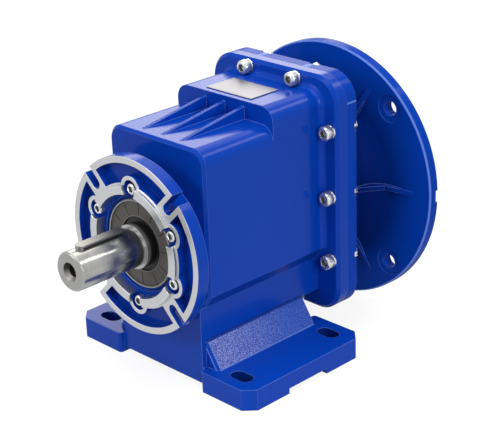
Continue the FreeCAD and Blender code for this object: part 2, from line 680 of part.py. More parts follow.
def bell_ribs(body):
    """Thin ribs from the bell out to the round flange."""
    start = COVER_BACK + S.bell_rib_start
    radius = S.bell_diameter / 2
    inside = radius - S.wall
    sunk = S.flange_front + S.flange_thickness / 4
    bend = S.flange_front - S.bell_fillet
    outline = [(start, inside), (start, radius), (bend, radius + S.bell_rib_rise),
               (S.flange_front - S.bell_rib_thickness, S.bell_rib_knee), (S.flange_front, S.bell_rib_reach),
               (sunk, S.bell_rib_reach), (sunk, inside)]
    sketch = Sketch(body, "XY", AXIS - S.bell_rib_thickness / 2)
    sketch.polygon([(up, FACE + along) for along, up in outline])
    rib = pad(body, sketch, S.bell_rib_thickness)
    turn = Sketch(body, "XZ", FACE, AXIS)
    turn.item.addGeometry(Part.Point(Vector(0, 0, 0)), True)
    ring = body.newObject("PartDesign::PolarPattern", f"{body.Name}_ribs")
    ring.Originals = [rib]
    ring.Axis = (turn.item, ["N_Axis"])
    ring.Angle = 360
    ring.Occurrences = int(S.bell_rib_count.value)
    bind(ring, "Occurrences", S.bell_rib_count)
    finish(body, ring)


def bearing(label, bore, outside, width, y, z):
    """A shielded ball bearing: an outer ring that carries the shields, and an inner ring."""
    wall = (outside - bore) / 2
    race = wall * S.race_share
    inner_top = bore / 2 + race
    outer_low = outside / 2 - race
    lip = inner_top + S.shield_gap
    near_face = S.shield_inset
    far_face = width - S.shield_inset
    outer = new_part(f"{label}_outer_ring")
    revolve(outer, [(0, outside / 2), (width, outside / 2), (width, outer_low), (far_face, outer_low),
                    (far_face, lip), (far_face - S.shield_thickness, lip),
                    (far_face - S.shield_thickness, outer_low), (near_face + S.shield_thickness, outer_low),
                    (near_face + S.shield_thickness, lip), (near_face, lip), (near_face, outer_low),
                    (0, outer_low)])
    inner = new_part(f"{label}_inner_ring")
    revolve(inner, [(0, bore / 2), (width, bore / 2), (width, inner_top), (0, inner_top)])
    for ring in (outer, inner):
        place(ring, y=FACE + y, z=z)


def involute(angle):
    return math.tan(angle) - angle


def tooth_gap(teeth, tip, half_step):
    """Outline of one gap between involute teeth as joined curves, centred on +Z or half a tooth on."""
    module = S.tooth_module.value
    count = teeth.value
    pitch = module * count / 2
    pressure = math.radians(S.pressure_angle.value)
    base = pitch * math.cos(pressure)
    root = pitch - S.dedendum.value * module
    beyond = tip.value + module
    half_tooth = (math.pi * module - S.backlash.value) / (4 * pitch)
    lead = math.pi / count if half_step else 0.0

    def half_gap(radius):
        turned = involute(math.acos(min(1.0, base / max(radius, base))))
        return math.pi / count - (half_tooth + involute(pressure) - turned)

    def spot(radius, side, angle):
        turned = lead + side * angle
        return Vector(radius * math.sin(turned), radius * math.cos(turned), 0)

    start = max(root, base)
    middle = (start + tip.value) / 2
    curves = []
    ends = {}
    for side in (-1, 1):
        foot = spot(root, side, half_gap(start))
        flank = [spot(radius, side, half_gap(radius)) for radius in (start, middle, tip.value)]
        out = spot(beyond, side, half_gap(tip.value))
        if start > root:
            curves.append(Part.LineSegment(foot, flank[0]))
        curves.append(Part.Arc(*flank))
        curves.append(Part.LineSegment(flank[2], out))
        ends[side] = (foot, out)
    curves.append(Part.Arc(ends[-1][0], spot(root, 1, 0.0), ends[1][0]))
    curves.append(Part.LineSegment(ends[-1][1], ends[1][1]))
    return curves


def cut_teeth(body, teeth, tip, start, width, half_step):
    """Cut the gaps of a spur gear into a turned blank. With half_step a tooth, not a gap, stands at +Z."""
    sketch = Sketch(body, "XZ", start).curves(tooth_gap(teeth, tip, half_step))
    first = pocket(body, sketch, width)
    ring = body.newObject("PartDesign::PolarPattern", f"{body.Name}_teeth")
    ring.Originals = [first]
    axis = next(part for part in body.Origin.OriginFeatures if part.Role == "Y_Axis")
    ring.Axis = (axis, [""])
    ring.Angle = 360
    ring.Occurrences = int(teeth.value)
    bind(ring, "Occurrences", teeth)
    finish(body, ring)


def tip_radius(teeth):
    return teeth * S.tooth_module / 2 + S.tooth_module * S.addendum


def root_radius(teeth):
    return teeth * S.tooth_module / 2 - S.tooth_module * S.dedendum


def gear_wheel(label, teeth, width, bore, y, z, half_step):
    """A keyed gear wheel with a rim, a thin web and a hub."""
    body = new_part(label)
    place(body, y=FACE + y, z=z)
    tip = tip_radius(teeth)
    rim = root_radius(teeth) - S.rim_thickness
    hub = bore / 2 + S.hub_wall
    web = S.web_recess
    revolve(body, [(0, bore / 2), (width, bore / 2), (width, hub), (width - web, hub), (width - web, rim),
                   (width, rim), (width, tip), (0, tip), (0, rim), (web, rim), (web, hub), (0, hub)])
    cut_teeth(body, teeth, tip, 0, width, half_step)
    return body


def keyway(body, height, start, end, width, depth):
    """A round-ended keyway sunk into the top of a shaft."""
    sketch = Sketch(body, "XY", height)
    half = width / 2
    sketch.slot((0, start + half), (0, end - half), half)
    return pocket(body, sketch, depth)


def shaft_key(label, height, start, end, width, thickness, y, z):
    """A round-ended key; height is the level of its underside above the shaft's axis."""
    body = new_part(label)
    place(body, y=FACE + y, z=z)
    half = width / 2
    sketch = Sketch(body, "XY", height)
    sketch.slot((0, start + half), (0, end - half), half)
    pad(body, sketch, thickness)


def hub_keyway(body, bore, top, width, length):
    """A straight keyway along the whole bore of a hub, open to the bore."""
    sketch = Sketch(body, "XZ", 0)
    sketch.rectangle((-width / 2, bore / 4), (width / 2, top))
    return pocket(body, sketch, length)


def output_train():
    """Output shaft with its key, seal, bearings and gear."""
    radius = S.output_diameter / 2
    journal = S.front_bearing_bore / 2
    seat = S.mid_bearing_bore / 2
    end = -S.output_length
    front_end = CAP_BACK + S.front_bearing_width
    clip = OUTPUT_GEAR_END
    tail = clip + S.clip_thickness + S.output_tail
    neck = seat - S.clip_depth
    shaft = new_part("output_shaft")
    place(shaft, y=FACE, z=AXIS)
    mouth = S.end_mouth / 2
    thread = S.end_thread / 2
    bottom = end + S.end_thread_depth
    revolve(shaft, [(end, mouth), (end, radius - S.shaft_chamfer), (end + S.shaft_chamfer, radius),
                    (S.journal_start, radius), (S.journal_start, journal), (front_end, journal),
                    (front_end, S.collar_diameter / 2), (MID_BEARING, S.collar_diameter / 2),
                    (MID_BEARING, seat), (clip, seat), (clip, neck), (clip + S.clip_thickness, neck),
                    (clip + S.clip_thickness, seat), (tail, seat), (tail, 0), (bottom + thread / 2, 0),
                    (bottom, thread), (end + S.end_mouth_depth, thread)])
    key_start = end + S.key_setback
    key_end = key_start + S.key_length
    keyway(shaft, radius, key_start, key_end, S.key_width, S.key_depth)
    shaft_key("output_key", radius - S.key_depth, key_start, key_end, S.key_width, S.key_height, 0, AXIS)
    gear_start = OUTPUT_GEAR + S.gear_key_inset
    gear_end = OUTPUT_GEAR_END - S.gear_key_inset
    keyway(shaft, seat, gear_start, gear_end, S.gear_key_width, S.gear_key_depth)
    shaft_key("output_gear_key", seat - S.gear_key_depth, gear_start, gear_end, S.gear_key_width,
              S.gear_key_height, 0, AXIS)
    gear = gear_wheel("output_gear", S.output_teeth, S.output_gear_width, S.mid_bearing_bore, OUTPUT_GEAR,
                      AXIS, False)
    hub_keyway(gear, S.mid_bearing_bore, seat - S.gear_key_depth + S.gear_key_height + S.fit_clearance,
               S.gear_key_width, S.output_gear_width)
    collar = new_part("output_gear_collar")
    place(collar, y=FACE + BOSS_END, z=AXIS)
    revolve(collar, [(0, seat), (S.gear_gap, seat), (S.gear_gap, seat + S.shoulder), (0, seat + S.shoulder)])
    shaft_clip("output_gear_circlip", neck, seat + S.clip_rise, clip, AXIS)
    bearing("output_front_bearing", S.front_bearing_bore, S.front_bearing_outside, S.front_bearing_width,
            CAP_BACK, AXIS)
    bearing("output_inner_bearing", S.mid_bearing_bore, S.mid_bearing_outside, S.mid_bearing_width,
            MID_BEARING, AXIS)


def shaft_clip(label, inner, outer, y, z):
    """A circlip: a flat ring with a gap at the bottom."""
    body = new_part(label)
    place(body, y=FACE + y, z=z)
    revolve(body, [(0, inner), (S.clip_thickness, inner), (S.clip_thickness, outer), (0, outer)])
    gap = Sketch(body, "XZ")
    gap.rectangle((-S.clip_gap / 2, -outer - S.clip_gap), (S.clip_gap / 2, 0))
    pocket(body, gap, S.clip_thickness)


def oil_seal(label, bore, outside, width, y):
    """A lip seal: a thin metal rim, a dished face, and a hub whose throat lies deeper round the shaft."""
    body = new_part(label)
    place(body, y=FACE + y, z=AXIS)
    lip = bore / 2 + S.seal_clearance
    rim = outside / 2 - S.seal_rim
    hub = lip + S.seal_hub
    throat = lip + S.seal_throat
    back = width - S.seal_dish
    revolve(body, [(0, rim), (0, outside / 2), (width, outside / 2), (width, rim), (S.seal_lip, rim),
                   (S.seal_lip, hub), (back, hub), (back, lip), (S.seal_lip, lip), (S.seal_lip, throat),
                   (S.seal_dish, throat), (S.seal_dish, rim)])


def output_cap():
    """Bearing cap with six ears, its seal and its screws."""
    body = new_part("output_bearing_cap")
    place(body, y=FACE, z=AXIS)
    pad(body, Sketch(body, "XZ", S.cap_front).circle((0, 0), S.cap_diameter / 2), S.cap_thickness,
        backwards=True)
    ears = Sketch(body, "XZ", S.cap_front)
    for spot in ear_spots():
        ears.circle(spot, S.ear_radius)
    pad(body, ears, S.cap_thickness, backwards=True)
    bore = S.seal_outside / 2
    drill(body, S.cap_front, [(0, 0)], bore + S.cap_groove, S.cap_groove_depth)
    drill(body, S.cap_front, [(0, 0)], bore, S.cap_thickness - S.cap_lip)
    drill(body, S.cap_front, [(0, 0)], bore - S.shoulder, S.cap_thickness)
    drill(body, S.cap_front, ear_spots(), S.cap_screw_diameter / 2 + S.fit_clearance, S.cap_thickness)
    oil_seal("output_seal", S.front_bearing_bore, S.seal_outside, S.cap_thickness - S.cap_lip, S.cap_front)
    master = socket_screw("cap_screw_master", S.cap_screw_diameter, S.cap_screw_length, S.cap_screw_head,
                          S.cap_screw_head_height, S.cap_screw_socket, S.cap_screw_socket_depth)
    group("cap_screws", master, [(across, FACE + S.cap_front, AXIS + up) for across, up in ear_spots()])


def hexagon(flats):
    """Corners of a hexagon by its width across flats, two of the flats upright."""
    angles = [Size(30 + 60 * n, str(30 + 60 * n)) for n in range(6)]
    corner = flats / 2 / cosine(angles[0])
    return [(corner * cosine(angle), corner * sine(angle)) for angle in angles]


def socket_screw(label, diameter, length, head, height, socket, depth):
    """A socket head cap screw, its head at -Y and its seat at the origin."""
    body = new_body(label)
    shank = diameter / 2
    revolve(body, [(-height, 0), (-height, head / 2), (0, head / 2), (0, shank), (length, shank),
                   (length, 0)])
    pocket(body, Sketch(body, "XZ", -height).polygon(hexagon(socket)), depth)
    return body


def counter_train():
    """Countershaft with its own pinion, its gear wheel, key and bearings."""
    bore = S.counter_bearing_bore / 2
    core = S.counter_core / 2
    seat = S.counter_seat / 2
    pinion_start = OUTPUT_GEAR - S.pinion_overlap
    pinion_width = S.output_gear_width + S.pinion_overlap * 2
    pinion_end = pinion_start + pinion_width
    front = COUNTER_FRONT
    front_end = front + S.counter_bearing_width
    rear = COUNTER_REAR
    rear_end = rear + S.counter_bearing_width
    tip = tip_radius(S.counter_pinion_teeth)
    shaft = new_part("countershaft")
    place(shaft, y=FACE, z=COUNTER)
    shoulder = S.counter_collar / 2
    stop = S.counter_gear_start - S.counter_collar_length
    revolve(shaft, [(front, 0), (front, bore), (front_end, bore), (front_end, core), (pinion_start, core),
                    (pinion_start, tip), (pinion_end, tip), (pinion_end, core), (stop, core), (stop, shoulder),
                    (S.counter_gear_start, shoulder), (S.counter_gear_start, seat), (COUNTER_GEAR_END, seat),
                    (COUNTER_GEAR_END, core), (rear, core), (rear, bore), (rear_end, bore), (rear_end, 0)])
    cut_teeth(shaft, S.counter_pinion_teeth, tip, pinion_start, pinion_width, True)
    key_start = S.counter_gear_start + S.gear_key_inset
    key_end = COUNTER_GEAR_END - S.gear_key_inset
    keyway(shaft, seat, key_start, key_end, S.counter_key_width, S.counter_key_depth)
    shaft_key("countershaft_key", seat - S.counter_key_depth, key_start, key_end, S.counter_key_width,
              S.counter_key_height, 0, COUNTER)
    gear = gear_wheel("countershaft_gear", S.counter_teeth, S.counter_gear_width, S.counter_seat,
                      S.counter_gear_start, COUNTER, False)
    hub_keyway(gear, S.counter_seat, seat - S.counter_key_depth + S.counter_key_height + S.fit_clearance,
               S.counter_key_width, S.counter_gear_width)
    spacer = new_part("countershaft_spacer")
    place(spacer, y=FACE + COUNTER_GEAR_END, z=COUNTER)
    length = rear - COUNTER_GEAR_END
    revolve(spacer, [(0, core), (length, core), (length, core + S.shoulder), (0, core + S.shoulder)])
    for name, y in (("countershaft_front_bearing", front), ("countershaft_rear_bearing", rear)):
        bearing(name, S.counter_bearing_bore, S.counter_bearing_outside, S.counter_bearing_width, y, COUNTER)


def input_train():
    """Hollow input shaft with its pinion, bearings, spacers, circlips and seal."""
    radius = S.input_bearing_bore / 2
    bore = S.input_bore / 2
    neck = S.input_neck / 2
    tip = tip_radius(S.input_teeth)
    pinion_start = S.counter_gear_start - S.pinion_overlap
    pinion_width = S.counter_gear_width + S.pinion_overlap * 2
    pinion_end = pinion_start + pinion_width
    collar_start = INPUT_BEARING - S.input_collar_length
    tail = INPUT_CLIP + S.input_tail
    bottom = tail - S.input_bore_length
    groove = radius - S.clip_depth
    shaft = new_part("input_shaft")
    place(shaft, y=FACE, z=AXIS)
    revolve(shaft, [(pinion_start, 0), (pinion_start, tip), (pinion_end, tip), (pinion_end, neck),
                    (collar_start, neck), (collar_start, S.input_collar / 2), (INPUT_BEARING, S.input_collar / 2),
                    (INPUT_BEARING, radius), (INPUT_CLIP, radius), (INPUT_CLIP, groove),
                    (INPUT_CLIP + S.clip_thickness, groove), (INPUT_CLIP + S.clip_thickness, radius),
                    (tail, radius), (tail, bore), (bottom, bore), (bottom - bore / 2, 0)])
    cut_teeth(shaft, S.input_teeth, tip, pinion_start, pinion_width, False)
    key = Sketch(shaft, "XZ", bottom)
    key.rectangle((-S.input_key_width / 2, 0), (S.input_key_width / 2, bore + S.input_key_rise))
    pocket(shaft, key, S.input_bore_length)
    for name, y in (("input_front_bearing", INPUT_BEARING), ("input_rear_bearing", INPUT_SECOND)):
        bearing(name, S.input_bearing_bore, S.input_bearing_outside, S.input_bearing_width, y, AXIS)
    between = INPUT_BEARING + S.input_bearing_width
    outside = S.input_bearing_outside / 2
    for label, inner, outer in (
            ("input_outer_spacer", outside - S.input_spacer_wall, outside),
            ("input_inner_spacer", radius, radius + S.input_spacer_wall)):
        spacer = new_part(label)
        place(spacer, y=FACE + between, z=AXIS)
        revolve(spacer, [(0, inner), (S.input_spacer, inner), (S.input_spacer, outer), (0, outer)])
    shaft_clip("input_shaft_circlip", groove, radius + S.clip_rise / 2, INPUT_CLIP, AXIS)
    shaft_clip("input_housing_circlip", outside - S.clip_rise, outside + S.clip_depth, INPUT_CLIP, AXIS)
    oil_seal("input_seal", S.input_bearing_bore, S.input_bearing_outside, S.input_seal_width,
             INPUT_CLIP + S.clip_thickness + S.input_seal_gap)


def split_fasteners():
    """Screws, lock washers and nuts of the split flange, the dowels and the blank nameplate."""
    seat = FACE + S.case_length
    nut_seat = FACE + COVER_BACK - S.nut_seat
    grip = nut_seat - seat
    length = S.washer_thickness + grip + S.nut_height + S.screw_end
    screw = socket_screw("split_screw_master", S.screw_diameter, length, S.screw_head, S.screw_head_height,
                         S.screw_socket, S.screw_socket_depth)
    spots = split_spots()
    group("split_screws", screw, [(x, seat - S.washer_thickness, z) for x, z in spots])
    washer = new_body("split_washer_master")
    revolve(washer, [(0, S.washer_bore / 2), (S.washer_thickness, S.washer_bore / 2),
                     (S.washer_thickness, S.washer_outside / 2), (0, S.washer_outside / 2)])
    split = Sketch(washer, "XZ")
    split.rectangle((0, -S.washer_split / 2), (S.washer_outside, S.washer_split / 2))
    pocket(washer, split, S.washer_thickness)
    group("split_lock_washers", washer, [(x, seat - S.washer_thickness, z) for x, z in spots])
    nut = new_body("split_nut_master")
    faces = Sketch(nut, "XZ").polygon(hexagon(S.nut_flats))
    faces.circle((0, 0), S.screw_diameter / 2)
    pad(nut, faces, S.nut_height, backwards=True)
    group("split_nuts", nut, [(x, nut_seat, z) for x, z in spots])
    dowel = new_body("dowel_master")
    pad(dowel, Sketch(dowel, "XZ", -S.dowel_length / 2).circle((0, 0), S.dowel_diameter / 2), S.dowel_length,
        backwards=True)
    group("dowel_pins", dowel, [(x, FACE + SPLIT, z) for x, z in dowel_spots()])
    plate = new_part("nameplate")
    front = FACE + S.step_start + S.plate_setback
    place(plate, y=front, z=AXIS + S.step_top)
    pad(plate, Sketch(plate, "XY").rectangle((-S.plate_length / 2, 0), (S.plate_length / 2, S.plate_depth)),
        S.plate_thickness)


def check_and_export():
    """Stop on any failed object or shape, then write one file for each sub-part."""
    doc.recompute()
    for item in doc.Objects:
        if "Invalid" in item.State or "Error" in item.State:
            raise RuntimeError(f"{item.Label} failed: {item.State}")
    for item in PARTS:
        if item.Shape.isNull() or not item.Shape.isValid():
            raise RuntimeError(f"{item.Label} has no sound shape")
    os.makedirs("parts", exist_ok=True)
    for item in PARTS:
        item.Shape.exportStep(f"parts/{item.Label}.step")


gear_case()
motor_flange()
output_train()
output_cap()
counter_train()
input_train()
split_fasteners()
check_and_export()
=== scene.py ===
# %% [markdown]
# # A spur gearbox in blue enamel
# This lesson dresses a machine part that already exists as solids. The solids come in as a fixed
# frame: their shapes and places stay, and the work here is finishes, small hardware, light and a
# camera.

# %% Load the frame
import json
import math

import bmesh
import bpy
from mathutils import Matrix, Vector

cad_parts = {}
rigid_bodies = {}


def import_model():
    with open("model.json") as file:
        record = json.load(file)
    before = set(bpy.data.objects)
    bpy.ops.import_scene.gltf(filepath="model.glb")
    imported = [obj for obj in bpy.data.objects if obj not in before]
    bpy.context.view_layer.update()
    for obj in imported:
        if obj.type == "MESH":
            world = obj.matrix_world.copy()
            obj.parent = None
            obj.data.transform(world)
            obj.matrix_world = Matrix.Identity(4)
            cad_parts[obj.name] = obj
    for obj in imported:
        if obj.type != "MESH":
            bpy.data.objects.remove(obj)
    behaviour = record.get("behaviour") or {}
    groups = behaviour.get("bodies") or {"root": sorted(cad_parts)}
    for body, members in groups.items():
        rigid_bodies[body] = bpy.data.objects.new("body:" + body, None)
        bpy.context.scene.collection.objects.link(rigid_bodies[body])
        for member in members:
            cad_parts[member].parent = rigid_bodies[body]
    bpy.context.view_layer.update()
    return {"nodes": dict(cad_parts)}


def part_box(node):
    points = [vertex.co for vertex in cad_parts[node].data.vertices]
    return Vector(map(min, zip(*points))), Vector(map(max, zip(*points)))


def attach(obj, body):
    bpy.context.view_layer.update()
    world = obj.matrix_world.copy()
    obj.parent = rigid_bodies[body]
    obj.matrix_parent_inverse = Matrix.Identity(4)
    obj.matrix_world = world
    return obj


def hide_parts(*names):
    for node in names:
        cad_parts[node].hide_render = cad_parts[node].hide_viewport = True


for leftover in list(bpy.data.objects):
    bpy.data.objects.remove(leftover)
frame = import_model()
NODES = frame["nodes"]
SCENE = bpy.context.scene
MM = 0.001

# %% [markdown]
# ## Places the finishes need
# A finish often changes at a machined face. The main faces are read from the solids' boxes, so a
# change of size moves the finish too.

# %% Read places from the solids
SHAFT_LOW, SHAFT_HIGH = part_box("output_shaft")
FLANGE_LOW, FLANGE_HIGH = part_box("motor_flange")
AXIS_Z = (SHAFT_LOW.z + SHAFT_HIGH.z) / 2
SPIGOT_HEIGHT = 3 * MM
RING_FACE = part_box("gear_case")[0].y + SPIGOT_HEIGHT
CAP_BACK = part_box("output_bearing_cap")[1].y
SPLIT_MARGIN = 1 * MM
SPLIT_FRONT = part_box("split_lock_washers")[1].y - SPLIT_MARGIN
SPLIT_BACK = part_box("split_nuts")[0].y + SPLIT_MARGIN
print("axis height:", round(AXIS_Z, 4), "ring face:", round(RING_FACE, 4))

# %% [markdown]
# ## Shader maths as plain expressions
# A finish is easier to read as arithmetic than as a list of links. One small class wraps a socket
# and gives it the operators of numbers. Linking nodes by hand would give the same tree, in ten
# times the lines.

# %% Fields


class Field:
    """A socket in a tree of nodes, with the arithmetic of numbers."""

    def __init__(self, tree, socket):
        self.tree = tree
        self.socket = socket

    def maths(self, operation, first, second=None):
        values = {0: first} if second is None else {0: first, 1: second}
        return self.tree.node("ShaderNodeMath", {"operation": operation}, values)

    def __add__(self, other):
        return self.maths("ADD", self, other)

    def __sub__(self, other):
        return self.maths("SUBTRACT", self, other)

    def __rsub__(self, other):
        return self.maths("SUBTRACT", other, self)

    def __mul__(self, other):
        return self.maths("MULTIPLY", self, other)

    def __truediv__(self, other):
        return self.maths("DIVIDE", self, other)

    def __gt__(self, other):
        return self.maths("GREATER_THAN", self, other)

    def __lt__(self, other):
        return self.maths("LESS_THAN", self, other)

    def __pow__(self, other):
        return self.maths("POWER", self, other)

    def __abs__(self):
        return self.maths("ABSOLUTE", self)

    __radd__ = __add__
    __rmul__ = __mul__

    def sine(self):
        return self.maths("SINE", self)

    def either(self, other):
        return self.maths("MAXIMUM", self, other)

    def hypotenuse(self, other):
        """The length that two parts at right angles give together."""
        return (self * self + other * other) ** 0.5

    def turn(self, up):
        """The angle round an axis, which is 0 straight above it."""
        return self.maths("ARCTAN2", self, up)

    def between(self, low, high):
        """1 inside the span and 0 outside it."""
        return (self > low) * (self < high)

    def span(self, low, high):
        """Low at 0, high at 1, and a straight line from one to the other."""
        return self * (high - low) + low

    def ease(self, low, high):
        """A smooth step from 0 at low to 1 at high."""
        return self.tree.node("ShaderNodeMapRange", {"interpolation_type": "SMOOTHSTEP"},
                              {"Value": self, "From Min": low, "From Max": high})


print("fields have", len([word for word in vars(Field) if callable(vars(Field)[word])]), "rules")

# %% [markdown]
# A tree of nodes starts empty, whether it belongs to a material or to the world. One method makes
# any node and fills its sockets, and short methods on top of it give what most trees need: the
# place on the object, the parts of a vector, and a mix of two colours.

# %% Trees


class Tree:
    """The nodes of a material or of the world."""

    def __init__(self, owner):
        owner.use_nodes = True
        self.owner = owner
        self.nodes = owner.node_tree.nodes
        self.links = owner.node_tree.links
        self.nodes.clear()

    def node(self, kind, settings=None, sockets=None, out=0):
        """Add a node: its settings first, then the values or links of its sockets."""
        made = self.nodes.new(kind)
        for name, value in (settings or {}).items():
            setattr(made, name, value)
        for key, value in (sockets or {}).items():
            if isinstance(value, Field):
                self.links.new(value.socket, made.inputs[key])
            else:
                made.inputs[key].default_value = value
        return Field(self, made.outputs[out]) if made.outputs else None

    def place(self):
        """The place on the object, in the object's own frame."""
        return self.node("ShaderNodeTexCoord", out="Object")

    def parts(self, vector):
        """The three parts of a vector as fields."""
        made = self.nodes.new("ShaderNodeSeparateXYZ")
        self.links.new(vector.socket, made.inputs[0])
        return [Field(self, part) for part in made.outputs]

    def blend(self, share, first, second):
        """Mix two colours."""
        colours = {0: share, 6: first, 7: second}
        return self.node("ShaderNodeMix", {"data_type": "RGBA"}, colours, out=2)


print("trees can use", [word for word in vars(Tree) if not word.startswith("_")])

# %% [markdown]
# A finish is the tree of a material. It adds the ingredients that paint, steel and rubber share:
# noise, lines, edges, undersides, and the Principled shader at the end.

# %% Finishes
SOFT_DETAIL = 2.0
FINE_DETAIL = 3.0
BEVEL_SAMPLES = 6
EDGE_TURN = (0.02, 0.16)


class Finish(Tree):
    """A material built from nodes."""

    def __init__(self, name):
        super().__init__(bpy.data.materials.new(name))

    def noise(self, vector, scale, detail=FINE_DETAIL):
        sockets = {"Vector": vector, "Scale": scale, "Detail": detail}
        return self.node("ShaderNodeTexNoise", {}, sockets)

    def lines(self, x, y, z=0.0):
        """Noise drawn out into lines, from parts of a place that are stretched already."""
        return self.noise(self.node("ShaderNodeCombineXYZ", {}, {0: x, 1: y, 2: z}), 1.0)

    def downward(self, low=0.35, high=0.85):
        """1 where a surface faces the floor, and 0 where it faces sideways or up."""
        up = self.parts(self.node("ShaderNodeNewGeometry", out="Normal"))[2]
        return (0.0 - up).ease(low, high)

    def rounded(self, radius):
        """A normal that runs smoothly round the edges."""
        return self.node("ShaderNodeBevel", {"samples": BEVEL_SAMPLES}, {"Radius": radius})

    def edge(self, radius):
        """1 along edges, where the rounded normal leaves the surface's own, and 0 on faces."""
        normals = {0: self.rounded(radius), 1: self.node("ShaderNodeNewGeometry", out="Normal")}
        match = self.node("ShaderNodeVectorMath", {"operation": "DOT_PRODUCT"}, normals, "Value")
        return (1.0 - match).ease(*EDGE_TURN)

    def surface(self, sockets, relief, depth, rounding):
        """End the tree in a Principled shader, with a relief and softly rounded edges."""
        bump = {"Height": relief, "Distance": depth, "Normal": self.rounded(rounding)}
        normal = self.node("ShaderNodeBump", {}, dict(bump, Strength=1.0))
        shader = self.node("ShaderNodeBsdfPrincipled", {}, dict(sockets, Normal=normal))
        self.node("ShaderNodeOutputMaterial", {}, {"Surface": shader})
        return self.owner


print("finishes add", [word for word in vars(Finish) if not word.startswith("_")])

# %% [markdown]
# The solids arrive with plain slots. Dressing a solid only swaps what is in its slots, because its
# mesh and its place belong to the construction.

# %% Dressing


def grey(level, tint=0.0):
    """A grey, with a little more or less blue."""
    return (level, level, level * (1.0 + tint), 1.0)


def dress(material, *names):
    """Give CAD nodes a finish in place of their plain slots."""
    for name in names:
        for slot in NODES[name].material_slots:
            slot.material = material
    print(material.name, "on", ", ".join(names))


print("solids to dress:", len(NODES))

# %% [markdown]
# ## Blue enamel on die-cast aluminium
# The castings are sprayed with a deep gloss blue. The steep faces of the foot, which leave the die
# roughly, show a sandy grain through it. The crests of that grain carry a painted highlight, which
# is palest at the near end and fades along the gussets.

# %% Sandy grain
# The two crest blues are a painted highlight, pale at the near end and dimmer further back.
LIT_CREST_BLUE = (0.36, 0.39, 0.67, 1.0)
DIM_CREST_BLUE = (0.075, 0.15, 0.49, 1.0)
SANDY_HOLLOW = (0.016, 0.056, 0.35, 1.0)
SAND_SCALE = 1150.0
SAND_CREST = (0.4, 0.68)
CREST_HIGHLIGHT_FADE = (0.0, 0.9)
GUSSET_FRONT = SHAFT_LOW.y + 100 * MM
GUSSET_LENGTH = 122 * MM


def sandy(finish, vector, y):
    """The heights of cast grain, and its colours with a painted highlight on the crests."""
    sand = finish.noise(vector, SAND_SCALE)
    highlight_fade = ((y - GUSSET_FRONT) / GUSSET_LENGTH).ease(*CREST_HIGHLIGHT_FADE)
    crest = finish.blend(highlight_fade, LIT_CREST_BLUE, DIM_CREST_BLUE)
    return sand, finish.blend(sand.ease(*SAND_CREST), SANDY_HOLLOW, crest)


print("grain from", round(GUSSET_FRONT, 3), "to", round(GUSSET_FRONT + GUSSET_LENGTH, 3))

# %% [markdown]
# Up close the coat has a faint orange peel. Its undersides are painted darker as shade, and its
# edges carry a pale painted highlight. The ring, the spigot and the motor face are turned after
# painting, so they are bare.

# %% Colours of the paint and the bare metal
BLUE = (0.0018, 0.047, 0.40, 1.0)
DEEP_BLUE = (0.0014, 0.039, 0.34, 1.0)
# A painted shade blue for sheltered places, and a painted highlight blue for edges.
PAINTED_SHADE_BLUE = (0.0007, 0.011, 0.12, 1.0)
EDGE_HIGHLIGHT_BLUE = (0.14, 0.24, 0.68, 1.0)
BARE_ALUMINIUM = (0.58, 0.59, 0.61, 1.0)
DULL_ALUMINIUM = (0.44, 0.45, 0.47, 1.0)
print("the paint mixes", len((BLUE, DEEP_BLUE, PAINTED_SHADE_BLUE, EDGE_HIGHLIGHT_BLUE)), "blues")

# %% [markdown]
# One finish does all this. Masks by place choose paint or turned metal, because the real boundary
# is a place too, and a mask that is left out counts as nowhere.

# %% Enamel
CLOUD_SCALE = 9.0
PEEL_SCALE = 420.0
PEEL_HEIGHT = 0.05
RINGS_PER_METRE = 900.0
RINGS_ALONG = 40.0
RING_HEIGHT = 0.05
UNDERSIDE_SHADE_SHARE = 0.8
EDGE_WIDTH = 1.1 * MM
EDGE_HIGHLIGHT_SHARE = 0.7
HIGHLIGHT_DIM_SHARE = 0.75
PAINT_ROUGH = (0.2, 0.26)
SHADE_ROUGH = 0.3
GRAIN_ROUGH = 0.16
METAL_ROUGH = (0.26, 0.38)
COAT_ROUGH = 0.08


